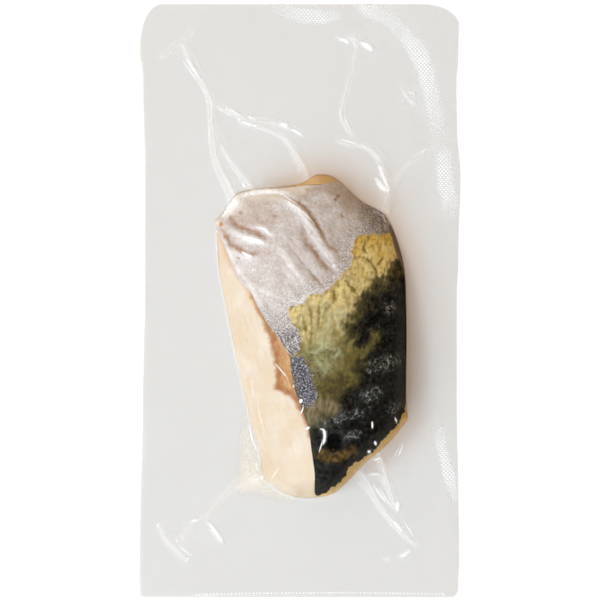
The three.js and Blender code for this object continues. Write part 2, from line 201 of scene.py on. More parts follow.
# Webs and pleats of gathered film: (x, y, height) along each crest
PLEATS = (
    ((-25, 40, 4.6), (-28.5, 47.5, 3.4), (-33, 56, 2.2), (-35, 66, 1.6), (-36, 81, 1.3), (-38.5, 87, 1.2),
     (-42.5, 94.5, 1.1), (-47, 104, 0.9)),
    ((-18, 44, 3.8), (-21.5, 49, 2.6), (-28, 57.5, 1.6), (-33, 66, 1.1), (-34.5, 70.5, 0.9)),
    ((-55.5, 99, 0.4), (-52, 102.5, 0.8), (-48.5, 105, 1.0), (-43, 109.5, 0.4)),
    ((-36, 81, 1.2), (-33, 79, 1.1), (-21.5, 74, 0.9), (-7.5, 71.5, 0.9), (1.5, 67, 0.4)),
    ((4, 47, 4.4), (2.5, 53, 3.0), (-2, 60.5, 1.7), (-4, 64.5, 1.3), (-10, 68.5, 1.0), (-24, 72.5, 0.7)),
    ((33, 34, 5.6), (36, 45, 3.4), (33.5, 55.5, 1.9), (31.5, 59, 1.5), (26, 63, 1.1), (20, 63.5, 0.8),
     (15, 65, 0.4)),
    ((36, 36, 4.2), (38.5, 47.5, 1.9), (48.5, 59, 1.1), (53, 62, 0.4)),
    ((21.5, 66.5, 0.5), (17, 75, 0.9), (18, 81, 1.0), (22.5, 97, 0.9), (23, 103.5, 1.0), (22, 106.5, 0.9)),
    ((14.5, 106.5, 0.4), (22, 106.5, 1.0), (26, 104.5, 0.8), (30, 101, 0.4)),
    ((41, 86.5, 0.4), (44, 82.5, 0.7), (47, 79, 0.4)),
    ((-13, -70, 6.2), (-20, -73, 3.6), (-27, -75.5, 2.2), (-30.5, -79, 1.8), (-36.5, -86, 1.4),
     (-42, -90.5, 1.2), (-49.5, -97.5, 1.0)),
    ((-57.5, -89.5, 0.4), (-52.5, -97.5, 1.1), (-45.5, -104.5, 0.4)),
    ((-37, -89, 0.4), (-34, -93.5, 1.0), (-31, -98, 0.4)),
    ((22, -66, 6.4), (25.5, -69.5, 4.2), (29, -75.5, 2.6), (33.5, -83.5, 1.7), (41.5, -93, 1.2),
     (47.5, -99, 0.6)),
    ((32, -60, 5.4), (35, -70, 2.2), (38, -80, 1.2), (39.5, -85, 0.5)),
    ((28, -70, 3.0), (33.5, -71, 1.6), (38, -80, 1.2)),
    ((40.5, -103.5, 0.5), (43, -102.5, 0.9), (45.5, -100.5, 0.4)),
    ((34.5, -103.5, 0.5), (37, -104.5, 0.6)),
)
PLEAT_WIDTHS = (2.2, 1.7, 1.8, 1.8, 1.6, 1.8, 1.5, 1.5, 1.6, 1.2, 2.0, 2.2, 1.6, 1.9, 1.7, 1.3, 1.5, 1.3)
# Threads of folded film along each pleat: place across it, in pleat widths, and whiteness
THREADS = ((-0.8, 0.12), (0.0, 0.06), (0.75, 0.10))
# Short sharp folds of the film, each drawn white as a painted glint: width, whiteness, and the line as (x,
# y)
GLINT_FOLDS = (
    (1.9, 1.0, ((-22.6, 25.1), (-18.5, 24.2), (-14.0, 22.8))),
    (1.2, 0.95, ((-23.5, 19.8), (-21.3, 18.3), (-18.9, 17.4))),
    (0.8, 0.7, ((-17.5, 29.3), (-14.2, 28.6), (-11.3, 25.8))),
    (3.4, 0.5, ((-25.5, 41), (-20, 43), (-12, 43.4), (-5, 42.2), (0, 39.5))),
    (2.6, 0.45, ((-30.5, 34.5), (-27.6, 38.2), (-24, 41.2))),
    (0.7, 0.65, ((-16, 44.0), (-9, 43.4), (-3.7, 40.3), (0.2, 37.2))),
    (0.6, 0.6, ((-6.5, 40.6), (-1.5, 37.4), (3.0, 33.6), (6.3, 29.8))),
    (1.4, 0.5, ((12.8, 14.4), (14.3, 13.4))),
    (2.4, 0.32, ((-5.9, 25.8), (-0.5, 18.8), (4.9, 12.3), (9.2, 6.9))),
    (2.0, 0.35, ((1.7, 30.1), (7.6, 22), (13.5, 13.9))),
    (2.8, 0.26, ((-8.1, 15), (-3.7, 9.6), (-0.5, 5.8))),
    (2.2, 0.24, ((-20.5, 8), (-12.4, 3.1), (-4.8, 0.4))),
    (1.6, 0.36, ((-4.4, 1.2), (0, -0.4), (3, 2.6), (7, 3.6))),
    (0.8, 0.75, ((-10.3, -24.6), (-7.5, -27.6), (-4.8, -30.8))),
    (0.6, 0.8, ((-2.9, -34.7), (-2.1, -33))),
    (1.6, 1.0, ((-0.4, -39.2), (1.2, -39.9))),
    (0.7, 0.9, ((1.4, -41.7), (0.9, -43.5), (0, -45.2))),
    (1.3, 1.0, ((2.2, -51.2), (3.9, -49.9))),
    (1.1, 1.0, ((7.6, -50.7), (9.2, -51.0), (9.8, -52.8), (9.6, -55.2), (8.9, -57.4))),
    (0.5, 0.9, ((8.9, -55.0), (8.3, -57.6), (7.4, -60.4))),
    (0.9, 1.0, ((28.6, -47.6), (28.7, -50.8))),
    (1.0, 0.95, ((37.8, -46.4), (38.3, -47.8), (38.9, -49.4))),
    (1.1, 1.0, ((29.6, -55.6), (30.5, -58.1))),
    (1.4, 1.0, ((27.0, -59.6), (28.3, -61.2))),
    (0.5, 0.5, ((-8, -66.5), (-10, -69.5), (-12.2, -73))),
    (0.5, 0.45, ((-17.6, -38), (-16.2, -46), (-13.8, -54.5))),
    (0.5, 0.4, ((-19.5, -30), (-18.6, -40))),
    (1.6, 1.0, ((-8.2, 71.6), (-6.4, 71.2), (-4.6, 70.3))),
    (0.9, 1.0, ((-3.9, 69.7), (-1.2, 68.4), (1.4, 66.6))),
    (0.8, 0.85, ((-21.9, 74.9), (-17.6, 73.2))),
    (0.8, 0.75, ((-31, 78.4), (-27, 76.6), (-23.4, 74.2))),
    (1.0, 0.8, ((-23.6, 72.6), (-20, 71.3), (-16.6, 70.4))),
    (1.2, 0.9, ((-36.1, 78.3), (-35.1, 78.2))),
    (1.0, 0.8, ((-52.6, 100.8), (-51.8, 100.4))),
    (0.9, 0.8, ((2.2, 54.3), (3.0, 53.8))),
    (1.4, 0.55, ((-46.8, 99), (-43.6, 94.6), (-40.4, 89.8))),
    (0.6, 0.6, ((-48, 98.2), (-45, 93.8), (-41.2, 88.2))),
    (1.2, 0.95, ((15.6, 106), (17.8, 105.5), (20.2, 103.9))),
    (2.0, 1.0, ((24.4, 104.5), (26.8, 103.4), (29.9, 101))),
    (1.1, 1.0, ((32.0, 55.9), (33.4, 51), (36.6, 43.6))),
    (2.4, 0.8, ((30.4, 50.4), (32.6, 46.8), (36.2, 43.8))),
    (0.8, 0.8, ((48.4, 59.1), (51.2, 61.8))),
    (0.6, 0.5, ((17.7, 75.8), (19.2, 71.5), (21.6, 66.8))),
    (0.7, 0.7, ((16.1, 65.4), (19.8, 64.4), (23.6, 63))),
    (1.5, 0.4, ((43.9, 85), (47, 82.9))),
    (1.0, 0.4, ((40.8, 79.9), (42.5, 80.5))),
    (0.7, 0.7, ((41.8, -57.4), (40.9, -60.5), (39.4, -63.4))),
    (1.4, 1.0, ((39.3, -80.8), (39.6, -85.2))),
    (1.0, 1.0, ((37.6, -88.6), (41.6, -93.5))),
    (1.1, 0.9, ((28.9, -73.6), (32.2, -78), (35.4, -82.4))),
    (0.6, 0.8, ((31.4, -74.4), (34.6, -79.5), (38.6, -85.4))),
    (0.9, 0.95, ((27, -70.2), (30, -69.9), (33.2, -70.4))),
    (0.9, 0.9, ((29.2, -64.5), (32.6, -63.4))),
    (0.5, 0.6, ((37.2, -65.2), (39.6, -60.6), (42.4, -56.6))),
    (0.5, 0.6, ((41.5, -88.1), (44, -92.2), (46.8, -96.6))),
    (1.1, 0.9, ((40.8, -103.5), (42.6, -102.3), (45.3, -100.8))),
    (1.0, 1.0, ((-37.3, -89.1), (-34, -93.6), (-30.6, -98.3))),
    (0.8, 0.9, ((-44.5, -89.2), (-41.2, -88.7))),
    (1.0, 0.95, ((-57.5, -90.1), (-57.2, -91))),
    (1.0, 0.95, ((-46, -104.4), (-44.6, -104))),
    (0.6, 0.5, ((-49, -99), (-46, -101.6), (-42.8, -103.1))),
    (0.9, 0.6, ((-20.7, -49.4), (-19.2, -56), (-16.6, -62.6))),
    (0.8, 0.5, ((-17.6, -64.9), (-17.1, -70.2))),
    (0.6, 0.35, ((-23.8, -52.7), (-24.4, -61))),
)
# Margin bands where the raised emboss catches the light, as a painted highlight: line of (x, y, strength),
# and half width
EMBOSS_GLINT_BANDS = (
    (((26.4, 119, 0.9), (33.1, 115.4, 0.5), (40.3, 110.7, 0.4), (44.9, 104, 0.8), (49.1, 97.9, 0.9),
     (51.6, 90.2, 1.0), (53.2, 82.4, 0.8), (55, 73.2, 0.5), (57, 64, 0.1), (58.3, 58, 0.7), (58.8, 49, 1.0),
     (60.4, 40, 0.7), (60.6, 34, 0.1)), 3.4),
    (((-8, 118, 0.3), (4, 114.8, 0.9), (14, 115.5, 0.5)), 3.0),
    (((55.8, -52, 0.3), (57.5, -60, 0.9), (59.6, -68, 1.0), (61.6, -75, 0.8), (63.5, -80, 0.4)), 2.2),
)
# Long ridges of the margin: line of (x, y, height), and spread
MARGIN_RIDGES = (
    (((25, 118, 0.1), (38, 113, 0.35), (49.5, 103, 0.5), (52, 86, 0.5), (56, 71, 0.4), (59, 56, 0.5),
     (60, 42, 0.4), (58, 28, 0.1)), 4.2),
    (((58, -56, 0.2), (60.5, -66, 0.5), (62, -76, 0.2)), 4.2),
)
# The film's diamond emboss, across and along. The real one is about 1 mm, which is too fine for the picture:
# it is drawn as coarse as it needs.
EMBOSS_PITCH = 1.45
EMBOSS_ROWS = 1.65
# The set juice round the foot of the open flesh
JUICE_PITCH = 0.8
JUICE_OUTLINE = (
    (-19.5, -34), (-22.5, -42), (-24.3, -50), (-24.8, -58), (-25.6, -66), (-26.8, -73), (-27.3, -77.2),
    (-24, -79), (-18, -79.4), (-12, -81), (-6.5, -82.4), (-1, -82), (2, -80.5), (-2, -78), (-9, -75),
    (-13.5, -70.5), (-15, -62), (-18.5, -50), (-18.8, -42),
)


# ---- lines and fields ------------------------------------------------------------------------------------
LATTICE = 97  # corners each way in the table of random slopes, after which the bumps repeat


def smooth_line(points, steps=4, closed=False):
    """Points along the centripetal Catmull-Rom curve through the given ones."""
    p = np.array([(*q, 0.0)[:3] for q in points], float)
    before, after = (p[-1], p[0]) if closed else (2 * p[0] - p[1], 2 * p[-1] - p[-2])
    ends = [p[0], p[1]] if closed else []
    p = np.vstack([before, p, *([ends] if closed else [after])])
    drawn = []
    for a, b, c, d in zip(p, p[1:], p[2:], p[3:]):
        gaps = [max(np.linalg.norm(q - r), 1e-6) ** 0.5 for q, r in ((a, b), (b, c), (c, d))]
        knots = np.cumsum([0.0] + gaps)
        for t in knots[1] + (knots[2] - knots[1]) * np.arange(steps) / steps:
            def blend(q, r, low, high):
                return ((knots[high] - t) * q + (t - knots[low]) * r) / (knots[high] - knots[low])
            ab, bc, cd = blend(a, b, 0, 1), blend(b, c, 1, 2), blend(c, d, 2, 3)
            drawn.append(blend(blend(ab, bc, 0, 2), blend(bc, cd, 1, 3), 1, 2))
    if not closed:
        drawn.append(p[-2])
    return np.array(drawn)


def polygon(points):
    """Points joined by straight lines, each as (x, y, 0)."""
    return np.array([(*p, 0.0) for p in points])


def nearest_on(line, x, y):
    """Every point's distance to a line, the nearest place on it, its third value there, and its slant."""
    best = np.full(np.shape(x), np.inf)
    place = [np.zeros(np.shape(x)) for _ in range(4)]
    for start, end in zip(line[:-1], line[1:]):
        run = end - start
        length = run[0] ** 2 + run[1] ** 2
        if length == 0:
            continue
        share = np.clip(((x - start[0]) * run[0] + (y - start[1]) * run[1]) / length, 0, 1)
        here = [start[i] + share * run[i] for i in range(3)]
        here.append(np.full(np.shape(x), max(abs(run[0]), abs(run[1])) / math.sqrt(length)))
        distance = np.hypot(x - here[0], y - here[1])
        nearer = distance < best
        best = np.where(nearer, distance, best)
        place = [np.where(nearer, new, old) for new, old in zip(here, place)]
    return best, place


def distance_to(line, x, y):
    return nearest_on(line, x, y)[0]


def inside(outline, x, y):
    """Whether points lie in a closed outline, by counting the sides to their right."""
    crossed = np.zeros(np.shape(x), bool)
    for a, b in zip(outline, np.roll(outline, 1, axis=0)):
        spans = (a[1] > y) != (b[1] > y)
        run = b[1] - a[1] if b[1] != a[1] else 1.0
        crossed ^= spans & (x < (b[0] - a[0]) * (y - a[1]) / run + a[0])
    return crossed


def depth_in(outline, x, y):
    """Distance to a closed outline, above zero inside it."""
    distance = distance_to(np.vstack([outline, outline[:1]]), x, y)
    return np.where(inside(outline, x, y), distance, -distance)


def step(low, high, value):
    """A smooth rise from 0 at low to 1 at high, or a fall where high is the smaller."""
    share = np.clip((value - low) / (high - low), 0, 1)
    return share * share * (3 - 2 * share)


def lumps(x, y, size, seed):
    """Smooth random bumps from -1 to 1, with a bump about every `size` millimetres."""
    angles = np.random.default_rng(seed).uniform(0, 2 * math.pi, (LATTICE, LATTICE))
    u, v = x / size + 500, y / size + 500
    i, j = np.floor(u).astype(int), np.floor(v).astype(int)
    fu, fv = u - i, v - j

    def corner(di, dj):
        angle = angles[(i + di) % LATTICE, (j + dj) % LATTICE]
        return np.cos(angle) * (fu - di) + np.sin(angle) * (fv - dj)

    su, sv = fu ** 3 * (fu * (fu * 6 - 15) + 10), fv ** 3 * (fv * (fv * 6 - 15) + 10)
    low = corner(0, 0) * (1 - su) + corner(1, 0) * su
    high = corner(0, 1) * (1 - su) + corner(1, 1) * su
    return 1.5 * (low * (1 - sv) + high * sv)


def creases(x, y, size, seed, stretch=1.0, angle=0.0):
    """Sharp crests from 0 to 1 between soft hollows, drawn out along an angle in degrees."""
    turn = math.radians(angle)
    along = (x * math.cos(turn) + y * math.sin(turn)) / stretch
    across = -x * math.sin(turn) + y * math.cos(turn)
    bend = 0.6 * size * lumps(along, across, 2.2 * size, seed + 1)
    return 1 - np.abs(np.clip(lumps(along + bend, across + bend, size, seed), -1, 1)) ** 0.8


# ---- the fillet's form -----------------------------------------------------------------------------------
# The skin's wrinkles where it is bare of silver, and its ribs where it is dark, as creases() takes them
SMALL_WRINKLES = {"size": 2.0, "seed": 26, "stretch": 2.2, "angle": 78}
WIDE_WRINKLES = {"size": 3.8, "seed": 25, "stretch": 2.2, "angle": 74}
DARK_RIBS = {"size": 3.0, "seed": 29, "stretch": 2.4, "angle": 24}

top_end, back_side, cut_end = smooth_line(TOP_END), smooth_line(BACK_SIDE), smooth_line(CUT_END)
flesh_side, skin_edge = smooth_line(FLESH_SIDE), smooth_line(SKIN_EDGE)
fillet_outline = np.vstack([top_end[:-1], back_side[:-1], cut_end[:-1], flesh_side[:-1]])
skin_side = np.vstack([top_end, back_side, cut_end, skin_edge[::-1]])


def torn(outline):
    """The skin's outline with small teeth where the knife pulled it, along the cut end."""
    x, y = outline[:, 0], outline[:, 1]
    depth = step(-40, -46, y) * step(7, 9, x)
    return np.stack([x + depth * lumps(x, y, 1.1, 33), y + depth * lumps(x, y, 1.1, 34), 0 * x], 1)


skin_outline = torn(smooth_line(SKIN_OUTLINE, 12, closed=True))


def plain_fillet(x, y):
    """The fillet's height without the skin's folds, and how far it has risen to it from its edge."""
    across = x - CREST_X - CREST_LEAN * y
    crown = CROWN_HEIGHT - across ** 2 / (2 * ROUND_ACROSS) - (y - CROWN_Y) ** 2 / (2 * ROUND_ALONG)
    from_foot = distance_to(flesh_side, x, y)
    share = from_foot / (from_foot + distance_to(skin_edge, x, y) + 1e-6)
    edge, slope = FLESH_EDGE_RISE * (1 - np.exp(-share / FLESH_EDGE_SHARE)), (1 - FLESH_EDGE_RISE) * share
    rise = np.where(inside(skin_side, x, y), 1.0, edge + slope)
    for line, rounding in ((top_end, TOP_END_ROUND), (back_side, BACK_SIDE_ROUND), (cut_end, CUT_END_ROUND)):
        rise = rise * np.sin(math.pi / 2 * np.minimum(distance_to(line, x, y) / rounding, 1))
    return np.where(inside(fillet_outline, x, y), rise * crown, 0.0), rise


def marks(lines, x, y, spread):
    """How strongly lines of (x, y, strength) mark each point, fading over `spread` millimetres."""
    wander_x, wander_y = (0.45 * lumps(x, y, 1.8, seed) for seed in (17, 18))
    strongest = np.zeros(np.shape(x))
    for points in lines:
        distance, (_, _, strength, _) = nearest_on(smooth_line(points), x + wander_x, y + wander_y)
        strongest = np.maximum(strongest, strength * np.exp(-(distance / spread) ** 2))
    return strongest


def from_hollow(x, y):
    """Distance to the middle of the dark hollow, which is a little longer than wide."""
    return np.hypot(x - DARK_HOLLOW[0], 0.95 * (y - DARK_HOLLOW[1]))


def skin_masks(x, y):
    """Where the skin is silver, dark and so on, each from 0 to 1."""
    jag = 0.8 * lumps(x, y, 2.6, 11) + 0.5 * lumps(x, y, 1.0, 12)
    drift = 2.4 * lumps(x, y, 7.0, 13) + 1.8 * lumps(x, y, 2.4, 14) + 0.8 * lumps(x, y, 1.1, 19)
    border = smooth_line(SILVER_BORDER)
    silver_depth = depth_in(np.vstack([border, polygon(SILVER_REST)]), x, y) + jag
    from_border = distance_to(border, x, y)
    band, streak, patch = (
        distance_to(smooth_line(line), x, y) for line in (OLIVE_BAND, OCHRE_STREAK, GREY_PATCH))
    dark = step(-8.5, 4.6, depth_in(polygon(DARK_OUTLINE), x, y) + 1.2 * drift)
    dark = dark * (1 - 0.55 * step(3.2, 0.6, band + 0.6 * drift))
    patch = patch + 0.9 * jag + 2.6 * step(-25, -19, y + 1.2 * drift)  # narrower where it meets the silver
    grey = step(6.2, 1.0, patch)
    glisten, sheen, spot = (np.zeros(np.shape(x)) for _ in range(3))
    turn = math.radians(GLISTENING_ANGLE)
    for cx, cy, long, wide in GLISTENING:
        along = ((x - cx) * math.cos(turn) + (y - cy) * math.sin(turn)) / long
        across = (-(x - cx) * math.sin(turn) + (y - cy) * math.cos(turn)) / wide
        reach = np.hypot(along, across) + 0.2 * drift
        glisten = np.maximum(glisten, step(1.5, 0.3, reach))
        sheen = np.maximum(sheen, step(2.8, 0.5, reach))
    for cx, cy, radius in BROWN_SPOTS:
        spot = np.maximum(spot, step(1.2 * radius, 0.3 * radius, np.hypot(x - cx, y - cy) + 0.9 * jag))
    return {
        "silver": step(-0.7, 0.7, silver_depth) * (1 - grey),
        "dark": dark,
        "ochre": step(3.6, 0.2, streak + 0.5 * drift),
        "grey": grey,
        "glisten": glisten * dark,
        "sheen": sheen * dark,
        "spot": spot,
        "hem": step(8, 0.5, from_border + 1.2 * drift) * (1 - grey),
        "rind": np.exp(-((silver_depth + 0.6) / 0.5) ** 2) * (1 - grey),
        "hollow": step(3.9, 2.2, from_hollow(x, y) + 0.1 * drift),
    }


def skin_relief(x, y, masks):
    """Folds and wrinkles of the skin, in millimetres."""
    silver, dark = masks["silver"], masks["dark"]
    bare = (1 - silver) * (1 - dark) * (1 - masks["grey"])
    relief = 0.30 * lumps(x, y, 11.0, 21) + 0.12 * silver
    relief += 0.95 * marks(SILVER_RIDGES, x, y, 1.8) - 1.0 * marks(SILVER_GROOVES, x, y, 1.2)
    relief += silver * (0.10 * lumps(x, y, 2.6, 22) + 0.05 * lumps(x, y, 1.2, 23))
    relief += 0.30 * marks(BARE_VEINS, x, y, 0.8) - 0.24 * marks(BARE_CREASES, x, y, 1.0)
    relief += bare * (0.30 * lumps(x, y, 5.0, 24) + 0.20 * creases(x, y, **SMALL_WRINKLES))
    relief += bare * 0.62 * creases(x, y, **WIDE_WRINKLES)
    relief += bare * (0.05 * creases(x, y, 1.3, 27, stretch=1.5, angle=60) - 0.40)
    relief += dark * (0.30 * lumps(x, y, 5.0, 28) + 0.35 * creases(x, y, **DARK_RIBS) - 0.15)
    relief += 0.30 * dark * marks(DARK_MARKS, x, y, 0.9) - 1.0 * masks["hollow"]
    relief += masks["glisten"] * 0.20 * np.abs(lumps(x, y, 1.1, 31))
    return relief + masks["grey"] * 0.12 * lumps(x, y, 0.9, 32)


def fillet_height(x, y):
    plain, rise = plain_fillet(x, y)
    relief = skin_relief(x, y, skin_masks(x, y))
    on_skin = step(-0.5, 1.5, depth_in(skin_outline, x, y))
    return plain + relief * np.clip(rise, 0, 1) * on_skin


# ---- meshes ----------------------------------------------------------------------------------------------
def cut_grid(outline, pitch, crests=()):
    """A square grid cut to an outline. Corners near the outline move onto it, and the corner nearest to a
    crest moves onto the crest, so that both are drawn clean. Gives the places, the triangles, and which
    corners are loose: at the outline or past it."""
    low, high = outline.min(axis=0) - 2 * pitch, outline.max(axis=0) + 2 * pitch
    x, y = np.meshgrid(np.arange(low[0], high[0], pitch), np.arange(low[1], high[1], pitch))
    depth = depth_in(outline, x, y)
    loose = depth < 0.4 * pitch
    crest = np.full(x.shape, -np.inf)
    for line in crests:
        distance, (cx, cy, height, slant) = nearest_on(line, x, y)
        on = (distance <= 0.5 * pitch * slant) & ~loose & (height > crest)
        x, y = np.where(on, cx, x), np.where(on, cy, y)
        crest = np.where(on, height, crest)
    near = loose & (depth > -2 * pitch)
    _, (rim_x, rim_y, _, _) = nearest_on(np.vstack([outline, outline[:1]]), x, y)
    x, y = np.where(near, rim_x, x), np.where(near, rim_y, y)

    number = np.arange(x.size).reshape(x.shape)
    low_row, high_row = number[:-1], number[1:]
    squares = (low_row[:, :-1], low_row[:, 1:], high_row[:, 1:], high_row[:, :-1])
    a, b, c, d = (part.ravel() for part in squares)
    # A square's diagonal follows a crest, and keeps off the loose corners
    weight = np.where(np.isfinite(crest), 10.0, np.where(loose, 0.0, 1.0)).ravel()
    out = loose.ravel()
    kept = ~(out[a] & out[b] & out[c] & out[d])
    rising = (weight[a] + weight[c] >= weight[b] + weight[d])[kept][:, None]
    a, b, c, d = a[kept], b[kept], c[kept], d[kept]
    first = np.where(rising, np.stack([a, b, c], 1), np.stack([a, b, d], 1))
    second = np.where(rising, np.stack([a, c, d], 1), np.stack([b, c, d], 1))
    return x, y, np.vstack([first, second]), loose


def rim_of(triangles):
    """The directed sides that only one triangle has."""
    sides = np.vstack([triangles[:, [0, 1]], triangles[:, [1, 2]], triangles[:, [2, 0]]])
    size = int(triangles.max()) + 1
    forward, backward = sides[:, 0] * size + sides[:, 1], sides[:, 1] * size + sides[:, 0]
    return sides[~np.isin(forward, backward)]


def corners_of(x, y, z):
    return np.stack([x.ravel(), y.ravel(), z.ravel()], 1)


def new_piece(name, corners, triangles, materials, masks, flat_from=None):
    """A mesh object from corners in millimetres, with its masks. From the triangle numbered flat_from on,
    faces are shaded flat and have the second material."""
    used, index = np.unique(triangles, return_inverse=True)
    triangles = index.reshape(triangles.shape)
    mesh = bpy.data.meshes.new(name)
    mesh.from_pydata((corners[used] * MM).tolist(), [], triangles.tolist())
    for key, values in masks.items():
        layer = mesh.attributes.new(key, "FLOAT", "POINT")
        layer.data.foreach_set("value", np.ascontiguousarray(values[used], np.float32))
    flat = np.zeros(len(triangles), bool)
    if flat_from is not None:
        flat[flat_from:] = True
    mesh.polygons.foreach_set("use_smooth", ~flat)
    for material in materials:
        mesh.materials.append(material)
    mesh.polygons.foreach_set("material_index", flat.astype(np.int32))
    mesh.update()
    piece = bpy.data.objects.new(name, mesh)
    bpy.context.scene.collection.objects.link(piece)
    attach(piece, "root")
    return piece


def new_slab(name, x, y, triangles, top, bottom, material, masks):
    """A piece of a top and a bottom sheet over the same grid, joined at their shared rim."""
    count = x.size
    rim = np.zeros(count, bool)
    rim[rim_of(triangles).ravel()] = True
    under = np.where(rim, np.arange(count), np.arange(count) + count)
    upper, lower = corners_of(x, y, top), corners_of(x, y, bottom)
    upper[rim, 2] = 0.5 * (upper[rim, 2] + lower[rim, 2])
    faces = np.vstack([triangles, under[triangles][:, ::-1]])
    masks = {key: np.tile(value.ravel(), 2) for key, value in masks.items()}
    return new_piece(name, np.vstack([upper, lower]), faces, [material], masks)


# ---- materials -------------------------------------------------------------------------------------------
SHARE, UNDER, OVER, BLEND = 0, 6, 7, 2  # a colour mix's inputs and its output


def srgb(code):
    """A linear colour from an sRGB hex value."""
    channels = [int(code[i:i + 2], 16) / 255 for i in (1, 3, 5)]
    return (*[c / 12.92 if c <= 0.04045 else ((c + 0.055) / 1.055) ** 2.4 for c in channels], 1.0)


def spots(size):
    """The texture scale that gives a spot about every `size` millimetres."""
    return 1 / (size * MM)


def node(tree, kind, inputs=None, out=0, stops=(), **settings):
    """Adds a node with its settings, fills or links its inputs, and gives back one of its outputs. A hex
    code is a colour, and stops are a colour ramp's, from low to high."""
    made = tree.nodes.new("ShaderNode" + kind)
    for key, value in settings.items():
        setattr(made, key, value)
    for key, value in (inputs or {}).items():
        if isinstance(value, bpy.types.NodeSocket):
            tree.links.new(value, made.inputs[key])
        else:
            made.inputs[key].default_value = srgb(value) if isinstance(value, str) else value
    for index, (place, code) in enumerate(stops):
        element = made.color_ramp.elements[index] if index < 2 else made.color_ramp.elements.new(place)
        element.position = place
        element.color = srgb(code)
    return made.outputs[out] if made.outputs else None


def new_material(name, *masks):
    """A material, its node tree, its place in object coordinates, and its painted masks by name."""
    material = bpy.data.materials.new(name)
    material.use_nodes = True
    tree = material.node_tree
    tree.nodes.clear()
    place = node(tree, "TexCoord", out="Object")
    painted = {mask: node(tree, "Attribute", out="Fac", attribute_name=mask) for mask in masks}
    return material, tree, place, painted


def drawn_out(tree, place, angle, long, wide, detail):
    """A cloudy pattern drawn out to `long` by `wide` millimetres at an angle in degrees."""
    turned = node(tree, "Mapping", {"Vector": place, "Rotation": (0, 0, math.radians(angle)),
                                    "Scale": (long * MM, wide * MM, wide * MM)}, vector_type="TEXTURE")
    return node(tree, "TexNoise", {"Vector": turned, "Scale": 1.0, "Detail": detail})


def bent_cells(tree, place, ripple, reach, cell):
    """Distance to the borders of cells, whose lines wander by `reach` millimetres every `ripple`."""
    wander = node(tree, "TexNoise", {"Vector": place, "Scale": spots(ripple), "Detail": 2.0}, out="Color")
    bent = node(tree, "VectorMath", {0: wander, 1: (reach * MM,) * 3, 2: place}, operation="MULTIPLY_ADD")
    return node(tree, "TexVoronoi", {"Vector": bent, "Scale": spots(cell)}, out="Distance",
                feature="DISTANCE_TO_EDGE")


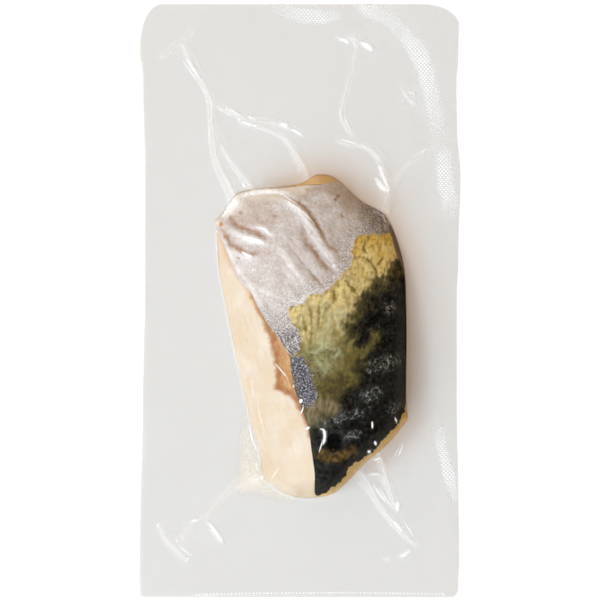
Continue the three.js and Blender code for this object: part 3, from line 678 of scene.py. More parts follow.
def mackerel_skin():
    """Grilled mackerel skin: silver belly with painted shade in its folds, yellow where that came off, black
    back.
    """
    material, tree, place, mask = new_material(
        "mackerel_skin", "silver", "pearl", "shade", "milky_sheen", "fold", "ridge_highlight", "hem", "rind", "olive",
        "crease_shade", "vein_highlight", "net", "dark", "sheen", "glisten", "ochre", "grey", "spot", "amber", "hollow",
        "taupe")
    # The skin's real grain is about 0.1 mm: it is drawn as coarse as the picture needs
    fine, speckle, mottle = (
        node(tree, "TexNoise", {"Vector": place, "Scale": spots(size), "Detail": detail})
        for size, detail in ((0.55, 3.0), (0.8, 3.0), (1.7, 4.0)))
    streaks = drawn_out(tree, place, -52, 2.6, 0.5, 2.0)  # thin scales in rows down the belly
    smears = drawn_out(tree, place, 78, 4.0, 1.1, 3.0)  # the bare skin is burnt in smears up and down
    net = bent_cells(tree, place, 2.4, 2.4, 1.9)  # pale lines on the bare skin
    # Painted glints along the crinkles of the raised bands
    crests = bent_cells(tree, place, 1.5, 2.0, 1.25)  # the crinkles of the raised bands
    # Every change of the skin frays into the next one, grain by grain
    frayed = {}
    for name, grain, depth in (("silver", speckle, 1.4), ("grey", fine, 1.3), ("crease_shade", fine, 0.6),
                               ("shade", streaks, 1.2)):
        rough = node(tree, "Math", {0: grain, 1: depth, 2: mask[name]}, operation="MULTIPLY_ADD")
        frayed[name] = node(tree, "MapRange", {"Value": rough, "From Min": 0.5 * depth + 0.28,
                                               "From Max": 0.5 * depth + 0.72})
    # Sums of two patterns: half of one and a share of the other, or a share of it and a mask
    sums = {}
    for name, first, weight, second, other in (
            ("hairs", streaks, 0.5, fine, 0.5),
            ("charred", fine, 0.5, mottle, 0.5),
            ("grain", streaks, 0.20, mask["pearl"], None),
            ("freckled", speckle, 1.7, mask["spot"], None),
            ("burnt", smears, 0.5, mask["dark"], None)):
        if other:
            second = node(tree, "Math", {0: second, 1: other}, operation="MULTIPLY")
        sums[name] = node(tree, "Math", {0: first, 1: weight, 2: second}, operation="MULTIPLY_ADD")
    pearl = node(tree, "Math", {0: fine, 1: 0.20, 2: sums["grain"]}, operation="MULTIPLY_ADD")

    # How much of a colour shows: a pattern's low and high value, the share at each, and a limit to it
    palest = node(tree, "MapRange", {"Value": mask["olive"], "From Min": 0.75, "From Max": 0.35})
    share = {}
    for name, pattern, low, high, least, most, limit in (
            ("folded", speckle, 0.35, 0.60, 0.55, 1.0, mask["fold"]),
            ("freckled", sums["freckled"], 1.1, 1.9, 0, 0.85, None),
            ("browned", mottle, 0.48, 0.75, 0, 0.60, None),
            ("paler", mottle, 0.50, 0.30, 0, 0.60, palest),
            ("smeared", smears, 0.50, 0.72, 0, 0.60, None),
            ("net", net, 0.30, 0.02, 0, 0.34, mask["net"]),
            ("sheen", mottle, 0.35, 0.62, 0.1, 0.75, mask["sheen"]),
            ("browner", smears, 0.52, 0.75, 0, 0.6, None),
            ("ochre", mottle, 0.38, 0.62, 0.30, 0.95, mask["ochre"]),
            ("glistening", mask["glisten"], 0, 1, 0, 0.45, None),
            ("crinkle_glint", crests, 0.20, 0.02, 0, 0.9, mask["glisten"]),
            ("olive", sums["burnt"], 0.42, 0.80, 0, 0.85, None),
            ("black", sums["burnt"], 0.62, 1.22, 0, 1, None),
            ("taupe", smears, 0.36, 0.60, 0.25, 1.0, mask["taupe"])):
        share[name] = node(tree, "MapRange", {"Value": pattern, "From Min": low, "From Max": high,
                                              "To Min": least, "To Max": most})
        if limit is not None:
            share[name] = node(tree, "Math", {0: share[name], 1: limit}, operation="MULTIPLY")

    # Colours that change with a pattern
    ramp = {}
    for name, pattern, stops in (
            ("pearl", pearl, ((0.34, "#A08D80"), (0.475, "#C8BBB2"), (0.56, "#DED6D2"), (0.64, "#FCFAFA"))),
            ("glints", fine, ((0.34, "#8D827B"), (0.50, "#C6BCB7"), (0.64, "#F9F7F5"))),
            ("ashen", sums["hairs"], ((0.40, "#4A4543"), (0.50, "#958C88"), (0.60, "#D6D0CC"))),
            ("bare", mask["olive"], ((0.0, "#F0C964"), (0.22, "#F2D98E"), (0.44, "#D8C48A"),
                                     (0.62, "#A69A66"), (0.80, "#6C6439"), (1.0, "#4A4328"))),
            ("charred", sums["charred"], ((0.43, "#030303"), (0.54, "#11110F"), (0.68, "#3C3D39"))),
            ("sparkle", fine, ((0.42, "#10100F"), (0.56, "#343532"), (0.70, "#9A9D9A"))),
            ("crest", mottle, ((0.40, "#1A1B1A"), (0.52, "#5E615D"), (0.68, "#C8CCC9"))),
            ("grey", fine, ((0.34, "#232124"), (0.52, "#605D62"), (0.70, "#C4C3C8")))):
        ramp[name] = node(tree, "ValToRGB", {"Fac": pattern}, stops=stops)

    # The three coats and the whole skin, each with what lies on it, from below; a coat's name stands for it
    coat = {}
    for name, colour, layers in (
            ("silver", ramp["pearl"], (
                # Painted highlight on the silver's ridges; the film's milk with its painted sheen
                (mask["ridge_highlight"], "#F3EEEB"), (mask["milky_sheen"], "#FBF6F0"), (mask["hem"], ramp["glints"]),
                # Brown in the silver's grooves is painted shade; at its upper left it is a warm tint
                (frayed["shade"], ramp["ashen"]), (share["folded"], "#A87C5A"))),
            ("bare", ramp["bare"], (
                (share["browned"], "#8F7430"), (share["paler"], "#F1E2B4"), (share["smeared"], "#7F723C"),
                # Painted shade olive brown in the creases and wrinkle valleys; painted highlight pale on the
                # raised veins
                (share["net"], "#B6B68E"), (frayed["crease_shade"], "#857036"), (mask["vein_highlight"], "#BDBF9A"))),
            ("dark", ramp["charred"], (
                # Painted sheen, sparkle and crinkle glints on the dark skin
                (share["browner"], "#221E10"), (share["sheen"], "#383A38"),
                (share["glistening"], ramp["sparkle"]), (share["crinkle_glint"], ramp["crest"]),
                (share["ochre"], "#6A5328"), (mask["hollow"], "#020203"))),
            # Burnt from yellow over olive brown to black, smear by smear, with the silver left on top of it
            ("skin", "bare", (
                (share["olive"], "#514C2C"), (share["black"], "dark"), (share["taupe"], "#8A7A5C"),
                (frayed["silver"], "silver"), (frayed["grey"], ramp["grey"]), (mask["rind"], "#6E5426"),
                (share["freckled"], "#A87A56"), (mask["amber"], "#CB882A")))):
        coat[name] = coat.get(colour, colour)
        for part, over in layers:
            inputs = {SHARE: part, UNDER: coat[name], OVER: coat.get(over, over)}
            coat[name] = node(tree, "Mix", inputs, out=BLEND, data_type="RGBA")
    normal = node(tree, "Bump", {"Height": speckle, "Strength": 0.25, "Distance": 0.07 * MM})
    surface = node(tree, "BsdfPrincipled", {"Base Color": coat["skin"], "Normal": normal, "Roughness": 0.45,
                                            "IOR": 1.4, "Specular IOR Level": 0.03})
    node(tree, "OutputMaterial", {"Surface": surface})
    return material


def mackerel_flesh():
    """Cooked mackerel flesh: cream, brown where the dark meat lies under the skin, tan where it is cut."""
    material, tree, place, mask = new_material(
        "mackerel_flesh", "dark_meat", "burnt", "seam", "scorched", "cut", "rim")
    soft, fine = (node(tree, "TexNoise", {"Vector": place, "Scale": spots(size), "Detail": detail})
                  for size, detail in ((9.0, 3.0), (0.9, 4.0)))
    grain = drawn_out(tree, place, -72, 7.0, 1.1, 3.0)  # the muscle's fibres run down the fillet
    cream, brown, tan = (node(tree, "ValToRGB", {"Fac": pattern}, stops=stops) for pattern, stops in (
        (soft, ((0.3, "#DCC6A8"), (0.55, "#DECDB7"), (0.75, "#E3D6C2"))),
        (grain, ((0.33, "#A0662A"), (0.50, "#B98448"), (0.68, "#CBA774"))),
        (fine, ((0.3, "#BC9B4E"), (0.6, "#D8BC6C"), (0.8, "#EAD49C")))))
    frayed = node(tree, "Math", {0: fine, 1: 0.9, 2: mask["dark_meat"]}, operation="MULTIPLY_ADD")
    browned, meat = (
        node(tree, "MapRange", {"Value": pattern, "From Min": low, "From Max": high, "To Max": most})
        for pattern, low, high, most in ((grain, 0.5, 0.75, 0.28), (frayed, 0.60, 1.45, 0.92)))
    colour = cream
    for share, over in (
            (browned, "#CFA87C"), (meat, brown), (mask["burnt"], "#99581F"), (mask["seam"], "#D69658"),
            (mask["cut"], tan), (mask["rim"], "#F0C892"), (mask["scorched"], "#4E351C")):
        colour = node(tree, "Mix", {SHARE: share, UNDER: colour, OVER: over}, out=BLEND, data_type="RGBA")
    normal = node(tree, "Bump", {"Height": grain, "Strength": 0.3, "Distance": 0.2 * MM})
    surface = node(tree, "BsdfPrincipled", {
        "Base Color": colour, "Normal": normal, "Roughness": 0.5, "IOR": 1.4, "Subsurface Weight": 0.12,
        "Subsurface Scale": 2 * MM})
    node(tree, "OutputMaterial", {"Surface": surface})
    return material


def cooking_juice():
    """Set cooking juice: a cloudy cream film of fat and gelatine that lets the table through."""
    material, tree, place, mask = new_material("cooking_juice", "body")
    cloud = node(tree, "TexNoise", {"Vector": place, "Scale": spots(3.0), "Detail": 4.0})
    share = node(tree, "MapRange", {"Value": cloud, "From Min": 0.35, "From Max": 0.70, "To Min": 0.16,
                                    "To Max": 0.44})
    share = node(tree, "Math", {0: share, 1: mask["body"]}, operation="MULTIPLY")
    clear = node(tree, "BsdfTransparent", {"Color": "#FFFEFC"})
    cream = node(tree, "BsdfDiffuse", {"Color": "#FFEFD2"})
    node(tree, "OutputMaterial", {"Surface": node(tree, "MixShader", {0: share, 1: clear, 2: cream})})
    return material


def vacuum_film(name, tint, embossed=False):
    """Clear nylon and polyethylene film: see-through, glossy, and milky where it is gathered."""
    masks = ("milk", "cling", "emboss_glint", "warm_shade") if embossed else ("milk", "cling")
    material, tree, place, mask = new_material(name, *masks)
    height = node(tree, "TexNoise", {"Vector": place, "Scale": spots(2.6), "Detail": 3.0})
    normal = node(tree, "Bump", {"Height": height, "Strength": 0.25, "Distance": 0.10 * MM})
    white = mask["milk"]
    if embossed:
        # Painted warm shade tints the film where the fish's shadow falls
        warmed = {SHARE: mask["warm_shade"], UNDER: tint, OVER: "#F1E5D9"}
        tint = node(tree, "Mix", warmed, out=BLEND, data_type="RGBA")
        rows = [2 * math.pi * spots(pitch) for pitch in (EMBOSS_PITCH, EMBOSS_ROWS)]
        turned = node(tree, "Mapping", {"Vector": place, "Scale": (*rows, 0)})
        axes = [node(tree, "SeparateXYZ", {"Vector": turned}, out=axis) for axis in ("X", "Y")]
        waves = [node(tree, "Math", {0: axis}, operation="SINE") for axis in axes]
        diamonds = node(tree, "Math", {0: waves[0], 1: waves[1]}, operation="MULTIPLY")
        normal = node(tree, "Bump", {"Height": diamonds, "Normal": normal, "Strength": 1.0,
                                     "Distance": 0.02 * MM})
        # Painted highlight: the tops of the diamonds, drawn white where the emboss catches the light
        tops = node(tree, "MapRange", {"Value": diamonds, "From Min": 0.10, "From Max": 0.50})
        white = node(tree, "Math", {0: tops, 1: mask["emboss_glint"], 2: white}, operation="MULTIPLY_ADD")
    clear = node(tree, "BsdfTransparent", {"Color": tint})
    gloss = node(tree, "BsdfGlossy", {"Color": "#FFEEDB", "Normal": normal, "Roughness": 0.07})
    slant = node(tree, "LayerWeight", {"Blend": 0.5, "Normal": normal}, out="Facing")
    grazing = node(tree, "Math", {0: slant, 1: 5.0}, operation="POWER")
    mirror = node(tree, "Math", {0: grazing, 1: 0.9, 2: 0.03}, operation="MULTIPLY_ADD")
    # Sucked onto the wet fish, the film mirrors less than where air is behind it
    wet = node(tree, "MapRange", {"Value": mask["cling"], "To Min": 1.0, "To Max": 0.05})
    mirror = node(tree, "Math", {0: mirror, 1: wet}, operation="MULTIPLY")
    film = node(tree, "MixShader", {0: mirror, 1: clear, 2: gloss})
    milk = node(tree, "BsdfDiffuse", {"Color": "#FBFAF8"})
    node(tree, "OutputMaterial", {"Surface": node(tree, "MixShader", {0: white, 1: film, 2: milk})})
    return material


# ---- the fillet's pieces ---------------------------------------------------------------------------------
FLESH_PITCH = 0.7
SKIN_PITCH = 0.41
SKIN_THICKNESS = 0.3
FILLET_FLOOR = 0.12  # the height of the fillet's underside
# Lines that the colours below keep to
FLESH_LIP = ((-0.5, 48), (7, 51), (14, 50), (24, 42))
SCORCHED_EDGE = ((37.5, 29), (41.5, 17), (43.5, 4))
FILM_SHROUD = ((-29, 37), (-23, 42), (-14, 42.6), (-5, 41.5), (0, 38.5), (5, 33))
TOP_RIM = ((-30, 37), (-26, 42.6), (-20, 44.6), (-10, 45.2), (0, 46))
TAUPE_PATCH = ((13, -42.5), (8.5, -40.8), (5.2, -42), (4.8, -47))
AMBER_SPOT = (-31.9, 30.9)


def make_flesh():
    """The fillet's flesh. It lies just under the skin, and is softly flaked where it is open."""
    x, y, triangles, _ = cut_grid(fillet_outline, FLESH_PITCH)
    under_skin = step(-0.6, 1.2, depth_in(skin_outline, x, y))
    flakes = 0.22 * creases(x, y, 5.5, 41, stretch=2.5, angle=72) + 0.10 * lumps(x, y, 2.0, 43)
    top = np.maximum(fillet_height(x, y) + (1 - under_skin) * (flakes - 0.15), FILLET_FLOOR + 0.5)
    meat = depth_in(polygon(DARK_MEAT), x, y) + 0.8 * lumps(x, y, 2.2, 44)
    from_meat = distance_to(polygon(DARK_MEAT_BORDER), x, y)
    from_cut, from_skin = distance_to(cut_end, x, y), distance_to(skin_edge, x, y)
    from_lip, from_back = (distance_to(smooth_line(line), x, y) for line in (FLESH_LIP, SCORCHED_EDGE))
    right = step(4, 8, x)
    rim = step(1.6, 0.5, from_cut + 0.5 * lumps(x, y, 3.0, 45)) * right
    seam = step(1.8, 0.4, from_skin + 0.5 * lumps(x, y, 1.8, 47)) * step(-12, -4, y) * step(29, 24, y)
    burnt = step(3.4, 0.4, from_meat + 1.2 * lumps(x, y, 2.2, 46)) * step(-1.5, 0.5, meat)
    masks = {
        "dark_meat": step(-2.0, 1.6, meat),
        "scorched": 0.85 * step(3.4, 1.4, from_back),
        "cut": np.maximum(step(9.5, 7.0, from_cut) * right, step(7, 4, from_lip)),
        "rim": 0.8 * np.maximum(rim, 0.8 * step(5.5, 3.5, from_lip)),
        "seam": 0.42 * seam,
        "burnt": 0.8 * burnt,
    }
    bottom = np.full(x.shape, FILLET_FLOOR)
    return new_slab("mackerel_flesh", x, y, triangles, top, bottom, mackerel_flesh(), masks)


def make_skin():
    """The fillet's skin, a thin sheet that reaches a little into the flesh, and what colours it where."""
    x, y, triangles, _ = cut_grid(skin_outline, SKIN_PITCH)
    height = fillet_height(x, y)
    top = np.maximum(height + SKIN_THICKNESS, FILLET_FLOOR + 0.8)
    bottom = np.maximum(height - 0.1, FILLET_FLOOR + 0.4)
    masks = skin_masks(x, y)
    grooves, ridges = marks((*SILVER_GROOVES, LIP_ARC), x, y, 0.75), marks(SILVER_RIDGES, x, y, 1.3)
    hollows = marks(SILVER_GROOVES, x, y, 2.0)
    wrinkles = (1 - creases(x, y, **SMALL_WRINKLES)) ** 2
    valleys = (1 - creases(x, y, **WIDE_WRINKLES)) ** 1.5
    ribs = creases(x, y, **DARK_RIBS) ** 4
    left_edge = distance_to(skin_edge, x, y)
    shroud, top_rim, taupe = (
        distance_to(smooth_line(line), x, y) for line in (FILM_SHROUD, TOP_RIM, TAUPE_PATCH))
    # Painted film sheen and the film's milk where it is gathered at the top and over the top rim, which
    # faces away from the lamp; white patches along the left edge
    shroud = shroud + 0.9 * lumps(x, y, 3.0, 57) + 0.12 * np.maximum(x + 14, 0)
    top_rim = top_rim + 0.7 * lumps(x, y, 2.0, 58)
    patches = (0.8 + 0.8 * lumps(x, y, 2.6, 59)) * np.exp(-((left_edge - 1.3) / 0.7) ** 2) * step(-12, 0, y)
    milky_sheen = [0.75 * step(4.8, 0.4, shroud), 0.95 * step(4.8, 1.4, top_rim), 0.6 * patches]
    # The pearl tone is lighter on the ridges and darker in the grooves' hollows: painted highlight and shade
    pearl = 0.045 * lumps(x, y, 5.0, 51) + 0.035 * lumps(x, y, 1.6, 52) + 0.05 * (ridges - hollows)
    # Greyer to the right and down the tongue of silver; painted shade brown in its folds, and warmer at its
    # upper left
    right = step(10, 38, x + 0.25 * (y - 30) + 3 * lumps(x, y, 4, 54))
    tongue = 0.50 * step(3, -14, y + 0.5 * x) + 0.62 * step(-9, -18, y)
    upper_left = step(1.25, 0.5, np.hypot((x + 18) / 12, (y - 34) / 6))
    # From yellow to olive down the fish
    olive = (21 - y) / 56 + 0.004 * (x - 10) + 0.16 * lumps(x, y, 6.0, 55) + 0.07 * lumps(x, y, 2.0, 56)
    # Painted sheen: the dark skin shines along its left edge, on its ribs and round the hollow
    edge = step(2.8, 0.5, left_edge) * step(-47, -52, y)
    ring = np.exp(-((from_hollow(x, y) - 4.6) / 0.9) ** 2)
    sheens = [0.8 * masks["sheen"], 0.8 * edge, 0.75 * ribs * masks["dark"], 0.9 * ring]
    masks.update({
        "sheen": np.maximum.reduce(sheens),
        "taupe": step(4.6, 0.4, taupe + 0.6 * lumps(x, y, 2.2, 60)),
        "pearl": 0.312 + pearl,
        # Painted highlight along the silver's ridges
        "ridge_highlight": 0.75 * ridges * (1 - grooves),
        # Painted film sheen with the film's milk over the skin
        "milky_sheen": np.maximum.reduce(milky_sheen),
        # Painted shade in the silver's grooves, and a warm tint at the upper left
        "fold": np.clip(1.3 * grooves * (0.8 + 0.5 * lumps(x, y, 2.4, 53)) + 0.26 * upper_left, 0, 0.95),
        "shade": np.clip(0.88 * right + tongue, 0, 1),
        "hem": 0.65 * masks["hem"] * masks["silver"],
        "olive": np.clip(olive, 0, 1),
        # Painted shade in the bare skin's creases and the valleys of its wrinkles
        "crease_shade": np.clip(0.6 * marks(BARE_CREASES, x, y, 0.75) + 0.40 * wrinkles + 0.35 * valleys, 0, 0.7),
        # Painted highlight on the raised veins
        "vein_highlight": 0.55 * marks(BARE_VEINS, x, y, 0.7),
        "amber": 0.9 * step(1.1, 0.4, np.hypot(x - AMBER_SPOT[0], 0.8 * (y - AMBER_SPOT[1]))),
        "net": step(9, 4, np.hypot(x - 9, 0.7 * (y + 21))),
        "rind": 0.35 * masks["rind"],
    })
    return new_slab("mackerel_skin", x, y, triangles, top, bottom, mackerel_skin(), masks)


# ---- the pouch -------------------------------------------------------------------------------------------
def side_draw(side, y):
    """How far a long side draws in at each place along the pouch."""
    places, draws = np.array(side, float).T
    after = np.clip(np.searchsorted(places, y), 1, len(places) - 1)
    share = step(0, 1, (y - places[after - 1]) / (places[after] - places[after - 1]))
    return draws[after - 1] + share * (draws[after] - draws[after - 1])


def corner_draw(rounding, from_end):
    """How far a rounded corner draws a side in, by the distance from the pouch's end."""
    across, along = rounding
    return across * (1 - np.sqrt(np.maximum(0, 1 - np.maximum(0, 1 - from_end / along) ** 2)))


def pouch_outline():
    """The pouch's outline, with more points towards its ends, where the corners are."""
    half = POUCH_LENGTH / 2
    y = half * np.sin(np.linspace(-math.pi / 2, math.pi / 2, 260))
    left, right = (
        POUCH_WIDTH / 2 - side_draw(draw, y) - corner_draw(CORNERS["top_" + side], half - y)
        - corner_draw(CORNERS["bottom_" + side], half + y)
        for side, draw in (("left", LEFT_SIDE_DRAW), ("right", RIGHT_SIDE_DRAW)))
    ring = np.vstack([np.stack([right, y], 1), np.stack([-left, y], 1)[::-1]])
    return np.hstack([ring, np.zeros((len(ring), 1))])


def relax(height, floor, rounds, press):
    """Lets a stretched sheet settle onto what is under it while the air presses on it."""
    for _ in range(rounds):
        mean = 0.25 * (height[:-2, 1:-1] + height[2:, 1:-1] + height[1:-1, :-2] + height[1:-1, 2:])
        height[1:-1, 1:-1] = np.maximum(floor[1:-1, 1:-1], mean - press)
    return height


def swells(x, y):
    """The slow unevenness of the pouch's flat margin, and the long ridges where the film stands off."""
    swell = 0.25 * lumps(x, y, 26, 61) + 0.10 * lumps(x, y, 9, 62)
    for line, spread in MARGIN_RIDGES:
        distance, (_, _, height, _) = nearest_on(smooth_line(line), x, y)
        swell = swell + height * np.exp(-(distance / spread) ** 2)
    return np.maximum(swell, 0)


def make_pouch():
    """The pouch. Its upper film rests on the margin, the fish and the pleats' crests, drawn tight between
    them; its lower film is flat. Gives the piece, and the upper film's left end, low end and heights."""
    outline = pouch_outline()
    pleats = [smooth_line(line) for line in PLEATS]
    x, y, triangles, loose = cut_grid(outline, FILM_PITCH, pleats)
    fish = fillet_height(x, y) + SKIN_THICKNESS * step(-0.3, 0.3, depth_in(skin_outline, x, y))
    slope = np.hypot(*np.gradient(fish, FILM_PITCH))
    fish = np.where(fish > SKIN_THICKNESS, fish + FILM_FIT * np.sqrt(1 + slope ** 2), 0)
    floor = np.maximum(FILM_REST + step(0, 5, depth_in(outline, x, y)) * swells(x, y), fish)
    gathered = np.full(x.shape, np.inf)
    for line in pleats:
        distance, (_, _, height, _) = nearest_on(line, x, y)
        floor = np.where(distance < 0.02, np.maximum(floor, FILM_REST + height), floor)
        gathered = np.minimum(gathered, distance)
    film = relax(floor.copy(), floor, FILM_ROUNDS, FILM_PRESS)
    film = np.where(loose, SEALED_EDGE, film)

    # Milkier where it is gathered and where it stands off the table, but clear on the fish
    lifted = np.clip((film - np.maximum(fish, FILM_REST)) / 3, 0, 1)
    milk = CLEAR_MILK + 0.035 * np.exp(-(gathered / 1.8) ** 2) + 0.12 * lifted * (fish <= 0)
    # Painted highlight along the bands where the raised emboss catches the light
    emboss_glint = np.zeros(x.shape)
    for line, half in EMBOSS_GLINT_BANDS:
        distance, (_, _, strength, _) = nearest_on(smooth_line(line), x, y)
        emboss_glint = np.maximum(emboss_glint, strength * step(1.3, 0.5, distance / half + 0.25 * lumps(x, y, 6, 63)))
    # Painted warm shade on the film beside the fish's back and top end, where its shadow falls
    off_fish = np.maximum(-depth_in(fillet_outline, x, y), 0)
    warm_shade = np.exp(-(off_fish / 7.5) ** 1.5) * step(-6, 10, x + 0.35 * y) * (fish <= 0)
    masks = {"milk": milk * np.where(fish > 0, 0.03, 1.0), "cling": np.where(fish > 0, 1.0, 0.0),
             "emboss_glint": emboss_glint, "warm_shade": warm_shade}
    under = {"milk": CLEAR_MILK, "cling": 0.0, "emboss_glint": 0.0, "warm_shade": 0.0}

    corners = np.vstack([corners_of(x, y, film), [[0, 0, LOWER_FILM]]])
    rim = rim_of(triangles)
    back = np.hstack([rim[:, ::-1], np.full((len(rim), 1), len(corners) - 1)])
    films = [vacuum_film("vacuum_film", "#F3F2EF", embossed=True), vacuum_film("plain_film", "#F3F2EF")]
    masks = {key: np.append(value.ravel(), under[key]) for key, value in masks.items()}
    faces = np.vstack([triangles, back])
    piece = new_piece("pouch_film", corners, faces, films, masks, flat_from=len(triangles))
    return piece, (x[0, 0], y[0, 0], film)


def fold_ribbon(line, half, lift, white, sides=6):
    """Film folded over on itself along a line: an arched ribbon, whitest along its top as a painted
    highlight.
    Gives corners, faces and milk."""
    run = np.gradient(line[:, :2], axis=0)
    across = np.stack([-run[:, 1], run[:, 0]], 1) / np.maximum(np.hypot(*run.T), 1e-9)[:, None]
    angle = math.pi * np.arange(sides) / (sides - 1)
    reach, rise = half[:, None] * np.cos(angle), lift[:, None] * np.sin(angle)
    x, y = (line[:, i:i + 1] + across[:, i:i + 1] * reach for i in (0, 1))
    milk = white[:, None] * (0.3 + 0.7 * np.sin(angle))
    rings, ribs = np.meshgrid(np.arange(len(line) - 1), np.arange(sides - 1), indexing="ij")
    a = (rings * sides + ribs).ravel()
    faces = np.vstack([np.stack([a + 1, a, a + sides], 1), np.stack([a + 1, a + sides, a + sides + 1], 1)])
    return corners_of(x, y, line[:, 2:3] + rise), faces, milk.ravel()


def finer(points, pitch):
    """A smooth line's points about `pitch` millimetres apart."""
    line = smooth_line(points, 12)
    line = line[np.concatenate([[True], np.hypot(*np.diff(line[:, :2], axis=0).T) > 1e-6])]
    travelled = np.concatenate([[0], np.cumsum(np.hypot(*np.diff(line[:, :2], axis=0).T))])
    places = np.linspace(0, travelled[-1], max(5, int(travelled[-1] / pitch) + 1))
    return np.stack([np.interp(places, travelled, line[:, i]) for i in range(3)], 1)


def pleat_threads(points, width, seed):
    """The threads of folded film that lie along one pleat."""
    line = finer(points, 0.8)
    along = np.linspace(0, 1, len(line))
    taper = np.minimum(1, np.minimum(along, 1 - along) * 9) ** 0.5
    run = np.gradient(line[:, :2], axis=0)
    side = np.stack([-run[:, 1], run[:, 0]], 1) / np.hypot(*run.T)[:, None]
    for thread, (place, white) in enumerate(THREADS):
        noise = lumps(line[:, 0] + 7 * thread, line[:, 1], 7.0, seed + thread)
        fine = lumps(line[:, 0], line[:, 1] + 9 * thread, 2.8, seed + thread + 2)
        moved = line.copy()
        moved[:, :2] += side * (width * taper * (place + 0.2 * noise))[:, None]
        moved[:, 2] += FILM_REST + THREAD_LIFT
        half = np.maximum(0.12 * width * taper * (1 + 0.5 * noise), 0.06)
        yield fold_ribbon(moved, half, 0.15 * half, np.clip(white * (0.9 + 1.6 * fine), 0.02, 0.8))


def seal_dots():
    """The row of dots that the bottom seal's bar leaves, as short white folds: painted glints on its real
    dots.
    """
    for x in np.arange(-42.5, 58, EMBOSS_PITCH):
        y = SEAL_ROW - 0.00025 * (x - 12) ** 2
        yield 0.9, 1.0, ((x, y), (x + 0.85, y))


def make_folds(left, low, film):
    """The gathered film: threads of folded film along the pleats, and short folds drawn white as painted
    glints.
    """
    ribbons = []
    for index, (points, width) in enumerate(zip(PLEATS, PLEAT_WIDTHS)):
        ribbons.extend(pleat_threads(points, width, 71 + 5 * index))
    for width, white, points in (*GLINT_FOLDS, *seal_dots()):
        line = finer(points, 0.5)
        along = np.linspace(0, 1, len(line))
        taper = np.sqrt(np.clip(4 * along * (1 - along), 0, 1))
        half = np.maximum(0.5 * width * taper * (1 + 0.35 * lumps(line[:, 0], line[:, 1], 1.5, 65)), 0.04)
        column, row = np.rint((line[:, :2] - (left, low)) / FILM_PITCH).astype(int).T
        line[:, 2] = film[row, column] + FOLD_LIFT
        # A painted soft shine round a wide painted glint
        if width >= WIDE_GLINT:  # a soft shine round the sharp one
            ribbons.append(fold_ribbon(line - (0, 0, 0.05), 2.0 * half, 0.05 * half, 0.22 * white * taper))
        ribbons.append(fold_ribbon(line, half, 0.2 * half, white * (0.2 + 0.8 * taper)))
    corners, faces, milk = zip(*ribbons)
    first = np.cumsum([0] + [len(part) for part in corners])
    corners, milk = np.vstack(corners), np.concatenate(milk)
    faces = np.vstack([part + start for part, start in zip(faces, first)])
    return new_piece("film_folds", corners, faces, [vacuum_film("gathered_film", "#FEFDFC")],
                     {"milk": milk, "cling": np.ones(len(corners))})


def make_juice():
    """The juice that set round the foot of the open flesh, pressed thin under the film."""
    outline = smooth_line(JUICE_OUTLINE, closed=True)
    x, y, triangles, _ = cut_grid(outline, JUICE_PITCH)
    top = 0.20 + 0.04 * lumps(x, y, 3.0, 66)
    body = step(0, 4.5, depth_in(outline, x, y))
    corners = corners_of(x, y, top)
    return new_piece("cooking_juice", corners, triangles, [cooking_juice()], {"body": body.ravel()})


# ---- the object ------------------------------------------------------------------------------------------
flesh = make_flesh()
skin = make_skin()
pouch, film_grid = make_pouch()
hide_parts("vacuum_pouch")
pouch.visible_shadow = False  # clear film: the light goes through
folds = make_folds(*film_grid)
folds.visible_shadow = False  # so thin that the light goes through
juice = make_juice()
juice.visible_shadow = False


# ---- stage, light and camera -----------------------------------------------------------------------------
FLOOR_REACH = 1.5  # metres each way
FLOOR_HEIGHT = -0.2 * MM
PICTURE_WIDTH = 242.9 * MM


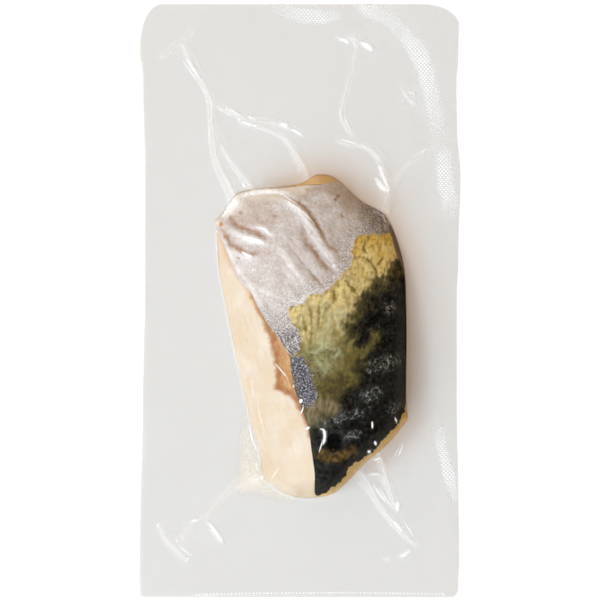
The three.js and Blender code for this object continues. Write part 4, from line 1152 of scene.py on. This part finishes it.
def make_floor():
    """The pale table under the pack."""
    mesh = bpy.data.meshes.new("floor")
    corners = [(FLOOR_REACH * i, FLOOR_REACH * j, FLOOR_HEIGHT)
               for i, j in ((-1, -1), (1, -1), (1, 1), (-1, 1))]
    mesh.from_pydata(corners, [], [(0, 1, 2, 3)])
    material, tree, _, _ = new_material("pale_floor")
    surface = node(tree, "BsdfPrincipled", {"Base Color": "#F7F7F7", "Roughness": 0.9})
    node(tree, "OutputMaterial", {"Surface": surface})
    mesh.materials.append(material)
    floor = bpy.data.objects.new("floor", mesh)
    bpy.context.scene.collection.objects.link(floor)


def softbox(name, place, size, radiance, colour):
    """A rectangular lamp at a place in metres, turned to the pack; radiance is what a mirror shows of it."""
    lamp = bpy.data.lights.new(name, "AREA")
    lamp.shape = "RECTANGLE"
    lamp.size, lamp.size_y = size
    lamp.energy = 4 * radiance * size[0] * size[1]
    lamp.color = srgb(colour)[:3]
    made = bpy.data.objects.new(name, lamp)
    made.location = place
    made.rotation_euler = (-made.location).to_track_quat("-Z", "Y").to_euler()
    bpy.context.scene.collection.objects.link(made)


def light_world():
    """A pale warm room, darker overhead and to the right."""
    world = bpy.data.worlds.new("room")
    bpy.context.scene.world = world
    world.use_nodes = True
    tree = world.node_tree
    tree.nodes.clear()
    direction = node(tree, "TexCoord", out="Generated")
    rightward, upward = (node(tree, "SeparateXYZ", {"Vector": direction}, out=axis) for axis in ("X", "Z"))
    stops = ((0.0, "#FFE2C2"), (0.80, "#F2D6B6"), (1.0, "#77706A"))
    sky = node(tree, "ValToRGB", {"Fac": upward}, stops=stops)
    strength = node(tree, "MapRange", {"Value": rightward, "From Min": -0.1, "From Max": 0.7, "To Min": 0.95,
                                       "To Max": 0.58})
    node(tree, "OutputWorld", {"Surface": node(tree, "Background", {"Color": sky, "Strength": strength})})


def make_camera():
    """Straight down on the pack, as in the photo."""
    lens = bpy.data.cameras.new("camera")
    lens.lens = 135
    lens.sensor_width = 36
    camera = bpy.data.objects.new("camera", lens)
    camera.location = (0, 0.3 * MM, PICTURE_WIDTH * lens.lens / lens.sensor_width)
    bpy.context.scene.collection.objects.link(camera)
    bpy.context.scene.camera = camera


make_floor()
softbox("key_softbox", (-2.15, -1.85, 2.75), (4.7, 4.7), 2.70, "#C5E2FF")
softbox("glint_strip", (-1.44, 0.24, 1.60), (0.12, 0.40), 34, "#FFFFFF")
light_world()
make_camera()
bpy.context.scene.view_settings.view_transform = "Standard"
